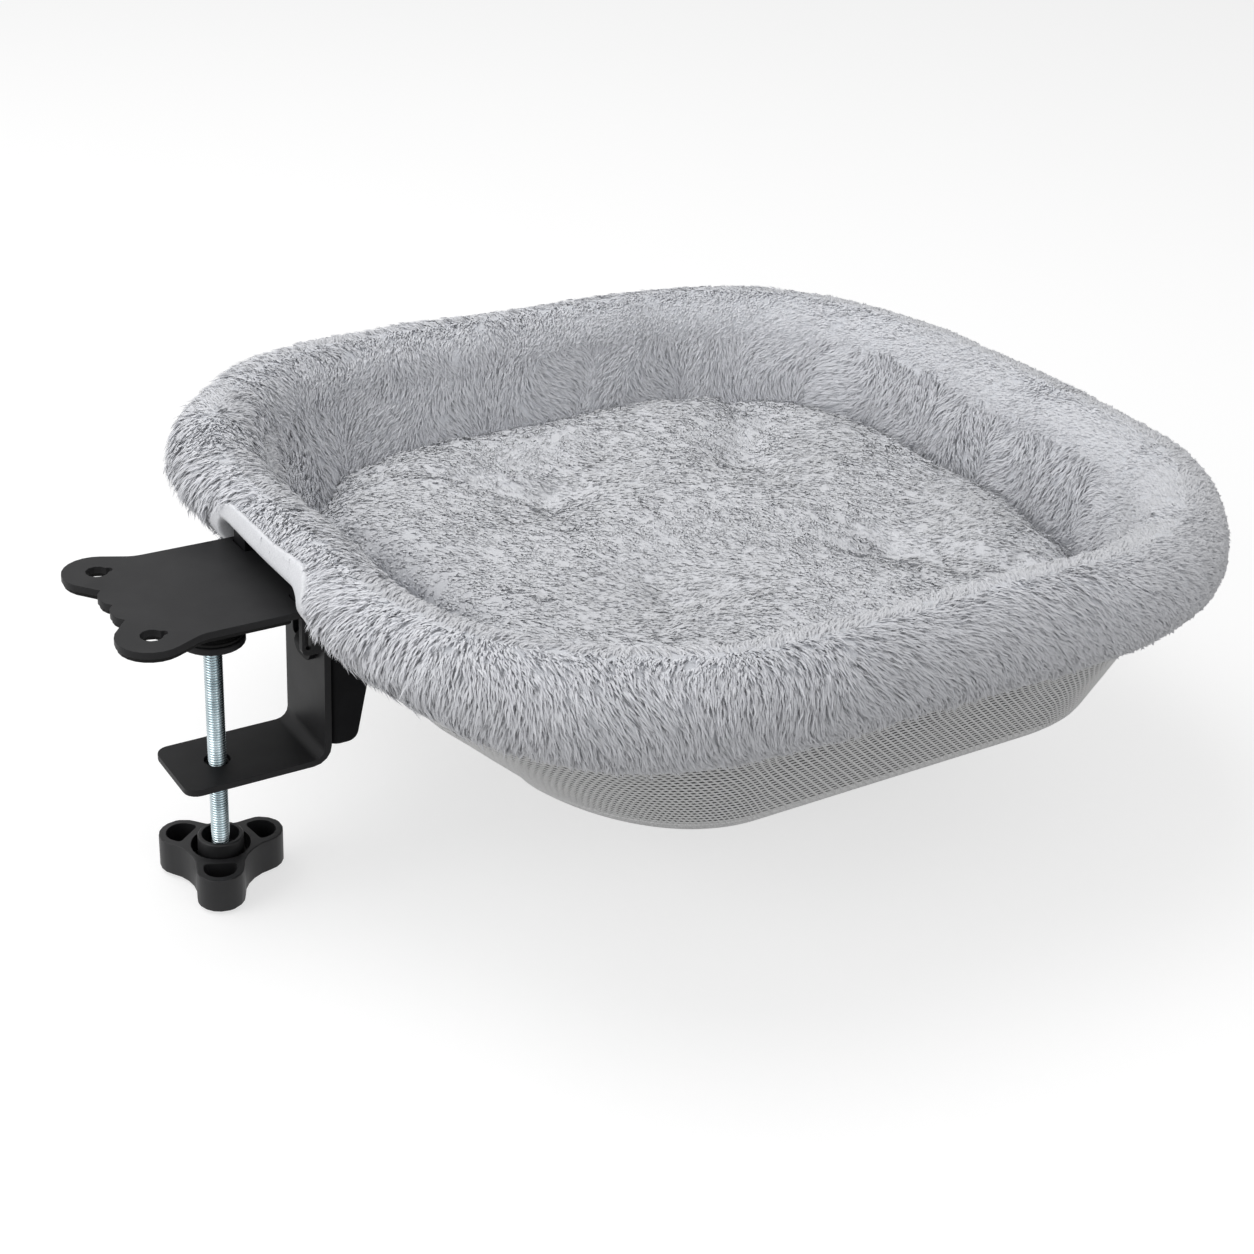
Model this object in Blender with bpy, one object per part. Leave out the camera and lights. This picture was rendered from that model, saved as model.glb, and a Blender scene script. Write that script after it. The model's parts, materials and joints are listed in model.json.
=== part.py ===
# Clamp-on desk cat hammock.
# The origin is on the clamp screw's axis, at the underside of the desk pad.
# +X runs from the desk to the hammock, +Y along the desk edge, +Z up. Lengths are in metres.
import math

import bmesh
import bpy
from mathutils import Matrix, Vector

# Clearances
SEAT_GAP = 0.0003
CUT_OVERRUN = 0.002

# Clamp bracket: one bent steel sheet
SHEET = 0.003
PLATE_WIDTH = 0.077
PLATE_END = 0.032
PLATE_CORNER_RADIUS = 0.0025
NECK_RADIUS = 0.004
ARM_WIDTH = 0.040
SCREW_TO_ARM = 0.0415
THROAT = 0.079
LOWER_REACH = 0.021
LOWER_CORNER_RADIUS = 0.006
UPPER_BEND_RADIUS = 0.004
LOWER_BEND_RADIUS = 0.0055
SCREW_HOLE_RADIUS = 0.0057

# Cat-ear end of the plate
EAR_REACH = 0.0365
EAR_OVERHANG = 0.007
EAR_RADIUS = 0.0145
EAR_OUTER_ANGLE = math.radians(65)
EAR_INNER_ANGLE = math.radians(212)
EAR_HOLE_RADIUS = 0.00475
NOTCH_RADIUS = 0.0018
NOTCH_REACH = 0.0048
SHOULDER_RADIUS = 0.016
VALLEY_REACH = 0.0412
BUMP_WIDTH = 0.0142
BUMP_HEIGHT = 0.0032

# Desk pad
PAD_THICKNESS = 0.0015
PAD_INSET = 0.0008
PAD_END = 0.020

# Slotted tabs under the plate that stop the desk's edge
STOP_REACH = 0.0234
STOP_LENGTH = 0.0114
STOP_HEIGHT = 0.0175
STOP_SHEET = 0.003
STOP_CORNER_RADIUS = 0.003
STOP_SLOT_INSET = 0.0016
STOP_SLOT_WIDTH = 0.0024
STOP_SLOT_LENGTH = 0.012

# Slots for the hanger hooks and window for the latch tongue
HOOK_INSET = 0.0095
HOOK_WIDTH = 0.012
HOOK_PLAY = 0.0005
SLOT_CORNER_RADIUS = 0.0008
WINDOW_TOP = 0.010
WINDOW_HEIGHT = 0.022
WINDOW_FAR_SIDE = 0.012
WINDOW_NEAR_SIDE = 0.0135
WINDOW_CORNER_RADIUS = 0.002

# Screw, boss and pressure foot
THREAD_DIAMETER = 0.008
THREAD_PLAY = 0.0003
BOSS_FLANGE_RADIUS = 0.007
BOSS_FLANGE_HEIGHT = 0.0025
BOSS_TIP_RADIUS = 0.0053
BOSS_TIP_HEIGHT = 0.0025
BOSS_COLLAR_HEIGHT = 0.0017
FOOT_DROP = 0.016
FOOT_RADIUS = 0.014
FOOT_PAD_THICKNESS = 0.0015
FOOT_PAD_INSET = 0.0006
FOOT_DISC_THICKNESS = 0.0035
FOOT_ROOF = 0.0012
FOOT_HUB_RADIUS = 0.0075
FOOT_HUB_HEIGHT = 0.0027
FOOT_EDGE = 0.0005
TIP_RADIUS = 0.005
TIP_HEIGHT = 0.0024
TIP_CHAMFER = 0.0004
RETAINER_RADIUS = 0.0059
RETAINER_HEIGHT = 0.0014
SCREW_CHAMFER = 0.0008

# Three-lobe knob
KNOB_DROP = 0.1218
KNOB_HEIGHT = 0.016
LOBE_COUNT = 3
LOBE_REACH = 0.0193
LOBE_RADIUS = 0.01035
LOBE_WALL = 0.0032
LOBE_POCKET_DEPTH = 0.012
LOBE_TURN = math.radians(247)
HUB_RADIUS = 0.015
HUB_WALL = 0.002
HUB_GROOVE_DEPTH = 0.008
CUP_RADIUS = 0.010
CUP_WALL = 0.0018
CUP_RISE = 0.005
CUP_DEPTH = 0.008
CUP_EDGE = 0.0005
KNOB_EDGE = 0.0008
KNOB_FLOOR = 0.0022
NUT_FLATS = 0.013
NUT_HEIGHT = 0.0065
NUT_SKIN = 0.0015

# Steel ring of the hammock
RING_HALF_LENGTH = 0.2035
RING_HALF_WIDTH = 0.183
RING_SIDE_STRAIGHT = 0.058
TUBE_RADIUS = 0.008
TUBE_WALL = 0.0012
CROSSBAR_END_RUN = 0.002
SPIGOT_HALF = 0.018
SPIGOT_WALL = 0.0015
JOINT_SCREW_RADIUS = 0.002
JOINT_SCREW_INSET = 0.009
JOINT_HEAD_RADIUS = 0.0035
JOINT_HEAD_HEIGHT = 0.0022
JOINT_HEAD_TAPER = 0.0005

# Support bracket, hanger hooks and latch tongue
BRACKET_SHEET = 0.0025
BRACKET_HALF_WIDTH = 0.018
BRACKET_BEND_RADIUS = 0.002
BRACKET_TOP = 0.020
BRACKET_BOTTOM = 0.075
BRACKET_WAIST = 0.019
BRACKET_BELLY = 0.044
BRACKET_TOP_DEPTH = 0.0048
BRACKET_BELLY_DEPTH = 0.0185
BRACKET_FOOT_DEPTH = 0.0125
BRACKET_CORNER_RADIUS = 0.005
HOOK_SHEET = 0.003
HOOK_START_ANGLE = math.radians(65)
HOOK_TIP_GAP = 0.001
TONGUE_SHEET = 0.003
TONGUE_BEND_RADIUS = 0.001
TONGUE_FAR_SIDE = 0.004
TONGUE_NEAR_SIDE = 0.0128
TONGUE_DROP = 0.004
TONGUE_HEIGHT = 0.014
TONGUE_CORNER_RADIUS = 0.006

# Padded rim
ROLL_HALF_WIDTH = 0.024
ROLL_HALF_HEIGHT = 0.023
ROLL_BELOW_TUBE = 0.0068
COVER_THICKNESS = 0.0032
SEAM_HALF_WIDTH = 0.0042
OPENING_MARGIN = 0.0026
OPENING_TOP = 0.0155
OPENING_DEPTH = 0.0145
BINDING_RADIUS = 0.0010
BINDING_START_ANGLE = math.radians(250)

# Mesh tray
MESH_THICKNESS = 0.0015
TRAY_INSET = 0.001
TRAY_RUN_LENGTH = 0.047
TRAY_RUN_WIDTH = 0.027
TRAY_SHIFT = 0.0135
TRAY_KNEE = 0.070
TRAY_DEPTH = 0.0955
RELIEF = 0.017
RELIEF_HALF = 0.022
RELIEF_FADE = 0.080
PIPING_RADIUS = 0.0016

# Plush liner and mat
LINER_THICKNESS = 0.005
LINER_TOP = 0.004
LINER_SHOULDER = 0.012
LINER_STAND_OFF = 0.004
LINER_CLEARANCE = 0.0006
MAT_CLEARANCE = 0.0006
MAT_EDGE = 0.046
MAT_SHOULDER = 0.022
MAT_CROWN = 0.017
MAT_TUFT_DEPTH = 0.006
MAT_TUFT_SPREAD = 0.030
MAT_TUFT_REACH = 0.085
MAT_PLEAT_HEIGHT = 0.003

# Counts
ARC_STEPS = 5
BEND_STEPS = 4
ROUND_SIDES = 28
SCREW_SIDES = 10
TUBE_SIDES = 16
RING_BEND_STEPS = 9
ROLL_STEPS = 10
PIPING_SIDES = 6
NUT_SIDES = 6
MAT_TUFTS = 4
MAT_PLEATS = 11

# Places worked out from the sizes
EAR_SPACING = PLATE_WIDTH + 2 * (EAR_OVERHANG - EAR_RADIUS)
HOOK_SPACING = PLATE_WIDTH - 2 * HOOK_INSET
OPENING_WIDTH = PLATE_WIDTH + 2 * OPENING_MARGIN
RING_CORNER_RADIUS = RING_HALF_WIDTH - RING_SIDE_STRAIGHT
CROSSBAR_HALF = RING_SIDE_STRAIGHT - SPIGOT_HALF - CROSSBAR_END_RUN
PLATE_BOTTOM = PAD_THICKNESS + SEAT_GAP
PLATE_TOP = PLATE_BOTTOM + SHEET
PLATE_MIDDLE = PLATE_BOTTOM + SHEET / 2
ARM_MIDDLE = SCREW_TO_ARM + SHEET / 2
ARM_BACK = SCREW_TO_ARM + SHEET
LOWER_MIDDLE = -THROAT - SHEET / 2
LOWER_BOTTOM = -THROAT - SHEET
UPPER_BEND = UPPER_BEND_RADIUS + SHEET / 2
LOWER_BEND = LOWER_BEND_RADIUS + SHEET / 2
QUARTER = math.pi / 2
TUBE_X = ARM_BACK - TUBE_RADIUS
TUBE_Z = PLATE_TOP + SEAT_GAP + TUBE_RADIUS
RING_X = TUBE_X + RING_HALF_LENGTH
ROLL_Z = TUBE_Z - ROLL_BELOW_TUBE
TUBE_BORE = TUBE_RADIUS - TUBE_WALL
SPIGOT_RADIUS = TUBE_BORE - SEAT_GAP
HOOK_INNER = TUBE_RADIUS + SEAT_GAP
HOOK_OUTER = HOOK_INNER + HOOK_SHEET
COVER_INNER_WIDTH = ROLL_HALF_WIDTH - COVER_THICKNESS
COVER_INNER_HEIGHT = ROLL_HALF_HEIGHT - COVER_THICKNESS
CORE_HALF_WIDTH = COVER_INNER_WIDTH - SEAT_GAP
CORE_HALF_HEIGHT = COVER_INNER_HEIGHT - SEAT_GAP
CORE_BORE = TUBE_RADIUS + 2 * SEAT_GAP
OPENING_BACK = TUBE_X + OPENING_DEPTH
THREAD_RADIUS = THREAD_DIAMETER / 2


# Materials
def material(name, color, roughness, metallic=0.0):
    made = bpy.data.materials.new(name)
    made.use_nodes = True
    shader = made.node_tree.nodes["Principled BSDF"]
    shader.inputs["Base Color"].default_value = (*color, 1.0)
    shader.inputs["Roughness"].default_value = roughness
    shader.inputs["Metallic"].default_value = metallic
    made.diffuse_color = (*color, 1.0)
    return made


def make_materials():
    return {
        "powder_coat": material("powder_coat", (0.022, 0.022, 0.023), 0.42),
        "bracket_coat": material("bracket_coat", (0.016, 0.016, 0.017), 0.50),
        "pad_rubber": material("pad_rubber", (0.012, 0.012, 0.012), 0.80),
        "zinc": material("zinc", (0.62, 0.66, 0.69), 0.30, 1.0),
        "knob_plastic": material("knob_plastic", (0.018, 0.018, 0.019), 0.36),
        "tube_steel": material("tube_steel", (0.030, 0.030, 0.031), 0.40),
        "foam": material("foam", (0.030, 0.030, 0.031), 0.90),
        "plush": material("plush", (0.53, 0.56, 0.61), 0.95),
        "mat_plush": material("mat_plush", (0.58, 0.60, 0.64), 0.95),
        "mesh_fabric": material("mesh_fabric", (0.50, 0.50, 0.50), 0.85),
        "trim_fabric": material("trim_fabric", (0.62, 0.63, 0.66), 0.80),
    }


# Outlines
def arc(center, radius, start, end, steps=ARC_STEPS):
    angles = [start + (end - start) * i / steps for i in range(steps + 1)]
    return [(center[0] + radius * math.cos(a), center[1] + radius * math.sin(a)) for a in angles]


def rounded(corners, steps=ARC_STEPS):
    """Polygon from (x, y, radius) corners, each corner with a radius turned into an arc."""
    points = []
    for i, (x, y, radius) in enumerate(corners):
        if radius == 0:
            points.append((x, y))
            continue
        here = Vector((x, y))
        before = (Vector(corners[i - 1][:2]) - here).normalized()
        after = (Vector(corners[(i + 1) % len(corners)][:2]) - here).normalized()
        half = before.angle(after) / 2
        center = here + (before + after).normalized() * radius / math.sin(half)
        first = here + before * radius / math.tan(half) - center
        last = here + after * radius / math.tan(half) - center
        turn = first.angle_signed(last)
        for k in range(steps + 1):
            spoke = first.copy()
            spoke.rotate(Matrix.Rotation(-turn * k / steps, 2))
            points.append(tuple(center + spoke))
    return points


def rectangle(low_x, high_x, low_y, high_y, radius):
    corners = ((low_x, low_y), (high_x, low_y), (high_x, high_y), (low_x, high_y))
    return rounded([(x, y, radius) for x, y in corners])


def circle(x, y, radius, sides=ROUND_SIDES):
    return arc((x, y), radius, 0, 2 * math.pi, sides)[:-1]


def keyhole(x, y, radius, notch_radius):
    """Round hole with a small round notch on its +X side."""
    half = math.asin(notch_radius / radius)
    around = arc((x, y), radius, half, 2 * math.pi - half, 2 * ARC_STEPS)
    notch = arc((x + NOTCH_REACH, y), notch_radius, -QUARTER, QUARTER)
    return around + notch


def ear_end(inset):
    """Half of the cat-ear end, from the plate's straight side to the centre line, in +Y."""
    ear = (-EAR_REACH, EAR_SPACING / 2)
    radius = EAR_RADIUS - inset
    ear_arc = arc(ear, radius, EAR_OUTER_ANGLE, EAR_INNER_ANGLE, 2 * ARC_STEPS)
    start = Vector(ear_arc[0])
    side = PLATE_WIDTH / 2 - inset
    run = (start.y - side) / math.tan(math.pi / 2 - EAR_OUTER_ANGLE)
    shoulder = (start.x + run, side, SHOULDER_RADIUS)
    bump_radius = ((BUMP_WIDTH / 2) ** 2 + BUMP_HEIGHT ** 2) / (2 * BUMP_HEIGHT)
    half = math.asin(BUMP_WIDTH / 2 / bump_radius)
    bump_center = (-VALLEY_REACH + bump_radius - BUMP_HEIGHT + inset, BUMP_WIDTH / 2)
    bump = arc(bump_center, bump_radius, math.pi - half, math.pi + half)
    return [shoulder] + [(x, y, 0) for x, y in ear_arc + bump]


def mirrored(half):
    """Closed corner list from a +Y half that ends on the centre line."""
    other = [(x, -y, radius) for x, y, radius in reversed(half) if y > SEAT_GAP]
    return half[:-1] + [(half[-1][0], 0.0, 0)] + other


# Mesh builders
def finish(name, vertices, faces, look, smooth_angle=math.radians(35)):
    mesh = bpy.data.meshes.new(name)
    mesh.from_pydata([tuple(v) for v in vertices], [], faces)
    work = bmesh.new()
    work.from_mesh(mesh)
    bmesh.ops.recalc_face_normals(work, faces=work.faces)
    work.to_mesh(mesh)
    work.free()
    mesh.shade_smooth()
    mesh.set_sharp_from_angle(angle=smooth_angle)
    mesh.materials.append(look)
    made = bpy.data.objects.new(name, mesh)
    bpy.context.scene.collection.objects.link(made)
    return made


def set_origin(made, place):
    shift = Vector(place)
    for vertex in made.data.vertices:
        vertex.co -= shift
    made.location = shift


def sheet(name, outline, holes, creases, place, look):
    """Sheet with thickness: a flat blank, cut at the creases, laid by place(s, t, side)."""
    work = bmesh.new()
    for loop in [outline] + holes:
        corners = [work.verts.new((s, t, 0)) for s, t in loop]
        for i, corner in enumerate(corners):
            work.edges.new((corners[i - 1], corner))
    bmesh.ops.triangle_fill(work, edges=work.edges[:], use_beauty=True, normal=(0, 0, 1))
    for s in creases:
        parts = work.verts[:] + work.edges[:] + work.faces[:]
        bmesh.ops.bisect_plane(work, geom=parts, plane_co=(s, 0, 0), plane_no=(1, 0, 0))
    work.verts.index_update()
    for face in work.faces:
        face.normal_update()
        if face.normal.z < 0:
            face.normal_flip()
    count = len(work.verts)
    flat = [v.co.copy() for v in work.verts]
    vertices = [place(p.x, p.y, 1) for p in flat] + [place(p.x, p.y, -1) for p in flat]
    faces = []
    for face in work.faces:
        ids = [v.index for v in face.verts]
        faces.append(ids)
        faces.append([i + count for i in reversed(ids)])
    for edge in work.edges:
        if edge.is_boundary:
            a, b = (v.index for v in edge.verts)
            faces.append([a, b, b + count, a + count])
    work.free()
    return finish(name, vertices, faces, look)


def prism(name, outline, holes, low, high, look):
    def place(x, y, side):
        return Vector((x, y, high if side > 0 else low))
    return sheet(name, outline, holes, [], place, look)


def skin(name, rings, look, closed=False, caps=True, smooth_angle=math.radians(40)):
    """Surface through rings of equally many points."""
    size = len(rings[0])
    vertices = [p for ring in rings for p in ring]
    faces = []
    spans = len(rings) if closed else len(rings) - 1
    for i in range(spans):
        here = i * size
        there = (i + 1) % len(rings) * size
        for k in range(size):
            n = (k + 1) % size
            faces.append([here + k, here + n, there + n, there + k])
    if caps and not closed:
        faces.append(list(range(size)))
        faces.append([(len(rings) - 1) * size + k for k in range(size)])
    return finish(name, vertices, faces, look, smooth_angle)


def turned(name, profile, look, sides=ROUND_SIDES, bored=False):
    """Turned piece round the Z axis from (radius, z) points; a bored profile is a loop."""
    vertices = []
    rows = []
    for radius, z in profile:
        if radius == 0:
            rows.append([len(vertices)])
            vertices.append((0, 0, z))
            continue
        rows.append(list(range(len(vertices), len(vertices) + sides)))
        for x, y in circle(0, 0, radius, sides):
            vertices.append((x, y, z))
    faces = []
    pairs = list(zip(rows, rows[1:]))
    if bored:
        pairs.append((rows[-1], rows[0]))
    for upper, lower in pairs:
        for k in range(sides):
            n = (k + 1) % sides
            quad = [upper[k % len(upper)], upper[n % len(upper)]]
            quad += [lower[n % len(lower)], lower[k % len(lower)]]
            faces.append(list(dict.fromkeys(quad)))
    return finish(name, vertices, faces, look)


def joined(made, other, operation):
    """Boolean with another object, which is removed once the result is read."""
    step = made.modifiers.new(operation.lower(), "BOOLEAN")
    step.operation = operation
    step.object = other
    step.solver = "EXACT"
    bpy.context.view_layer.update()
    graph = bpy.context.evaluated_depsgraph_get()
    result = bpy.data.meshes.new_from_object(made.evaluated_get(graph))
    made.modifiers.clear()
    made.data = result
    bpy.data.objects.remove(other)
    made.data.set_sharp_from_angle(angle=math.radians(35))


def box(name, low, high, look):
    outline = [(low[0], low[1]), (high[0], low[1]), (high[0], high[1]), (low[0], high[1])]
    return prism(name, outline, [], low[2], high[2], look)


# Bent sheets
def bent(distance, stretches):
    """Point and left-hand normal of a bent line that starts at (0, 0) heading +u."""
    point = Vector((0.0, 0.0))
    heading = 0.0
    for kind, *sizes in stretches:
        if kind == "line":
            length = sizes[0]
            travel = min(distance, length)
            point += travel * Vector((math.cos(heading), math.sin(heading)))
        else:
            radius, angle = sizes
            length = radius * abs(angle)
            share = min(distance, length) / length
            side = math.copysign(1, angle)
            center = point + side * radius * Vector((-math.sin(heading), math.cos(heading)))
            heading += angle * share
            point = center - side * radius * Vector((-math.sin(heading), math.cos(heading)))
        distance -= min(distance, length)
        if distance <= 0:
            break
    return point, Vector((-math.sin(heading), math.cos(heading)))


def bend_creases(stretches, steps=BEND_STEPS):
    """Distances at which the blank is divided so that its bends come out round."""
    at = 0.0
    found = []
    for kind, *sizes in stretches:
        if kind == "line":
            at += sizes[0]
            continue
        length = sizes[0] * abs(sizes[1])
        found += [at + length * i / steps for i in range(steps + 1)]
        at += length
    return found


# Clamp bracket
CLAMP_START = -VALLEY_REACH - EAR_RADIUS
CLAMP_PATH = (
    ("line", ARM_MIDDLE - UPPER_BEND - CLAMP_START),
    ("arc", UPPER_BEND, -QUARTER),
    ("line", PLATE_MIDDLE - UPPER_BEND - LOWER_MIDDLE - LOWER_BEND),
    ("arc", LOWER_BEND, -QUARTER),
    ("line", ARM_MIDDLE - LOWER_BEND + LOWER_REACH),
)
ARM_START = ARM_MIDDLE - UPPER_BEND + UPPER_BEND * QUARTER
LOWER_START = ARM_START + CLAMP_PATH[2][1] + LOWER_BEND * QUARTER
CLAMP_END = LOWER_START + CLAMP_PATH[4][1]


def clamp_place(s, t, side):
    point, normal = bent(s - CLAMP_START, CLAMP_PATH)
    point += normal * side * SHEET / 2
    return Vector((CLAMP_START + point.x, t, PLATE_MIDDLE + point.y))


def arm_distance(z):
    return ARM_START + PLATE_MIDDLE - UPPER_BEND - z


def hook_slot(side):
    low = TUBE_X - HOOK_OUTER - HOOK_PLAY
    high = TUBE_X - HOOK_INNER + HOOK_PLAY
    middle = side * HOOK_SPACING / 2
    reach = HOOK_WIDTH / 2 + HOOK_PLAY
    return rectangle(low, high, middle - reach, middle + reach, SLOT_CORNER_RADIUS)


def make_clamp_bracket(look):
    half = [
        (CLAMP_END, ARM_WIDTH / 2, LOWER_CORNER_RADIUS),
        (PLATE_END, ARM_WIDTH / 2, NECK_RADIUS),
        (PLATE_END, PLATE_WIDTH / 2, PLATE_CORNER_RADIUS),
    ] + ear_end(0.0)
    outline = rounded(mirrored(half))
    window = rectangle(
        arm_distance(-WINDOW_TOP), arm_distance(-WINDOW_TOP - WINDOW_HEIGHT),
        -WINDOW_NEAR_SIDE, WINDOW_FAR_SIDE, WINDOW_CORNER_RADIUS,
    )
    screw_at = LOWER_START + ARM_MIDDLE - LOWER_BEND
    holes = [window, circle(screw_at, 0, SCREW_HOLE_RADIUS)]
    for side in (1, -1):
        holes.append(hook_slot(side))
        holes.append(keyhole(-EAR_REACH, side * EAR_SPACING / 2, EAR_HOLE_RADIUS, NOTCH_RADIUS))
    creases = [CLAMP_START + s for s in bend_creases(CLAMP_PATH)]
    sheet("clamp_bracket", outline, holes, creases, clamp_place, look)


def make_desk_pad(look):
    half = [(PAD_END, PLATE_WIDTH / 2 - PAD_INSET, PLATE_CORNER_RADIUS)] + ear_end(PAD_INSET)
    radius = EAR_HOLE_RADIUS + PAD_INSET
    holes = [
        keyhole(-EAR_REACH, side * EAR_SPACING / 2, radius, NOTCH_RADIUS + PAD_INSET)
        for side in (1, -1)
    ]
    prism("desk_pad", rounded(mirrored(half)), holes, 0.0, PAD_THICKNESS, look)


def make_edge_stops(look):
    """Slotted tabs welded under the plate's sides, in front of the hanger hooks' tails."""
    top = PLATE_BOTTOM - SEAT_GAP
    back = STOP_REACH + STOP_LENGTH
    bottom = top - STOP_HEIGHT
    outline = rounded([
        (STOP_REACH, top, 0), (back, top, 0),
        (back, bottom, STOP_CORNER_RADIUS), (STOP_REACH, bottom, STOP_CORNER_RADIUS),
    ])
    slot_front = STOP_REACH + STOP_SLOT_INSET
    slot_top = top - (STOP_HEIGHT - STOP_SLOT_LENGTH) / 2
    slot = rectangle(slot_front, slot_front + STOP_SLOT_WIDTH, slot_top - STOP_SLOT_LENGTH,
                     slot_top, SLOT_CORNER_RADIUS)
    for name, side in (("edge_stop_far", 1), ("edge_stop_near", -1)):
        middle = side * (PLATE_WIDTH / 2 - STOP_SHEET / 2)

        def place(s, t, face, middle=middle):
            return Vector((s, middle + face * STOP_SHEET / 2, t))
        sheet(name, outline, [slot], [], place, look)


def make_thread_boss(look):
    bore = THREAD_RADIUS + THREAD_PLAY
    collar = SCREW_HOLE_RADIUS - SEAT_GAP
    top = LOWER_BOTTOM - SEAT_GAP
    step = top - BOSS_FLANGE_HEIGHT
    profile = [
        (bore, top + BOSS_COLLAR_HEIGHT), (collar, top + BOSS_COLLAR_HEIGHT), (collar, top),
        (BOSS_FLANGE_RADIUS, top), (BOSS_FLANGE_RADIUS, step),
        (BOSS_TIP_RADIUS, step - BOSS_TIP_HEIGHT), (bore, step - BOSS_TIP_HEIGHT),
    ]
    turned("thread_boss", profile, look, bored=True)


# Pressure foot
DISC_TOP = -FOOT_DROP - FOOT_PAD_THICKNESS - SEAT_GAP
DISC_BOTTOM = DISC_TOP - FOOT_DISC_THICKNESS
HUB_BOTTOM = DISC_BOTTOM - FOOT_HUB_HEIGHT
SOCKET_RADIUS = RETAINER_RADIUS + SEAT_GAP
SOCKET_TOP = DISC_TOP - FOOT_ROOF
TIP_TOP = SOCKET_TOP - SEAT_GAP
TIP_BOTTOM = TIP_TOP - TIP_HEIGHT


def make_pressure_foot(pad_look, steel_look):
    radius = FOOT_RADIUS - FOOT_PAD_INSET
    pad = turned("pressure_pad", [
        (0, -FOOT_DROP), (radius - FOOT_EDGE, -FOOT_DROP), (radius, -FOOT_DROP - FOOT_EDGE),
        (radius, -FOOT_DROP - FOOT_PAD_THICKNESS), (0, -FOOT_DROP - FOOT_PAD_THICKNESS),
    ], pad_look)
    disc = turned("pressure_disc", [
        (0, DISC_TOP), (FOOT_RADIUS - FOOT_EDGE, DISC_TOP), (FOOT_RADIUS, DISC_TOP - FOOT_EDGE),
        (FOOT_RADIUS, DISC_BOTTOM + FOOT_EDGE), (FOOT_RADIUS - FOOT_EDGE, DISC_BOTTOM),
        (FOOT_HUB_RADIUS, DISC_BOTTOM), (FOOT_HUB_RADIUS, HUB_BOTTOM),
        (SOCKET_RADIUS, HUB_BOTTOM), (SOCKET_RADIUS, SOCKET_TOP), (0, SOCKET_TOP),
    ], steel_look)
    ring_top = TIP_BOTTOM - SEAT_GAP
    bore = THREAD_RADIUS + THREAD_PLAY
    ring = turned("foot_retainer", [
        (bore, ring_top), (RETAINER_RADIUS, ring_top),
        (RETAINER_RADIUS, ring_top - RETAINER_HEIGHT), (bore, ring_top - RETAINER_HEIGHT),
    ], steel_look, bored=True)
    for made in (pad, disc, ring):
        set_origin(made, (0, 0, -FOOT_DROP))


# Screw and knob
KNOB_TOP = -KNOB_DROP
KNOB_BOTTOM = KNOB_TOP - KNOB_HEIGHT
CUP_TOP = KNOB_TOP + CUP_RISE
CUP_FLOOR = CUP_TOP - CUP_DEPTH
SCREW_END = KNOB_BOTTOM + KNOB_FLOOR
NUT_TOP = CUP_FLOOR - NUT_SKIN
NUT_BOTTOM = NUT_TOP - NUT_HEIGHT


def make_screw(look):
    radius = THREAD_RADIUS
    made = turned("clamp_screw", [
        (0, TIP_TOP), (TIP_RADIUS - TIP_CHAMFER, TIP_TOP), (TIP_RADIUS, TIP_TOP - TIP_CHAMFER),
        (TIP_RADIUS, TIP_BOTTOM), (radius, TIP_BOTTOM), (radius, SCREW_END + SCREW_CHAMFER),
        (radius - SCREW_CHAMFER, SCREW_END), (0, SCREW_END),
    ], look)
    set_origin(made, (0, 0, KNOB_TOP))


def lobe_outline():
    """Three lobe tips joined by hollow curves that touch the hub circle."""
    top = LOBE_REACH ** 2 + HUB_RADIUS ** 2 - HUB_RADIUS * LOBE_REACH - LOBE_RADIUS ** 2
    valley = top / (2 * LOBE_RADIUS - 2 * HUB_RADIUS + LOBE_REACH)
    reach = HUB_RADIUS + valley
    points = []
    for i in range(LOBE_COUNT):
        middle = LOBE_TURN + 2 * math.pi * i / LOBE_COUNT
        half = math.pi / LOBE_COUNT
        tip = LOBE_REACH * Vector((math.cos(middle), math.sin(middle)))
        hollow = reach * Vector((math.cos(middle + half), math.sin(middle + half)))
        toward = math.atan2(*(hollow - tip).yx)
        spread = (toward - middle + math.pi) % (2 * math.pi) - math.pi
        points += arc(tip, LOBE_RADIUS, middle - spread, middle + spread, 2 * ARC_STEPS)
        back = toward + math.pi
        bisector = middle + half + math.pi
        sweep = (bisector - back + math.pi) % (2 * math.pi) - math.pi
        points += arc(hollow, valley, back, back + 2 * sweep, ARC_STEPS)[1:-1]
    return points


def lobe_pocket(index):
    """Oval pocket of one lobe, from the hub ring to the lobe's tip wall."""
    middle = LOBE_TURN + 2 * math.pi * index / LOBE_COUNT
    half = LOBE_RADIUS - LOBE_WALL
    inner = HUB_RADIUS + HUB_WALL / 2
    outer = LOBE_REACH + LOBE_RADIUS - LOBE_WALL
    corner = half - SEAT_GAP
    inner_corner = HUB_WALL
    corners = [
        (inner, -half, inner_corner), (outer, -half, corner),
        (outer, half, corner), (inner, half, inner_corner),
    ]
    turn = Matrix.Rotation(middle, 2)
    return [tuple(turn @ Vector(point)) for point in rounded(corners)]


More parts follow.
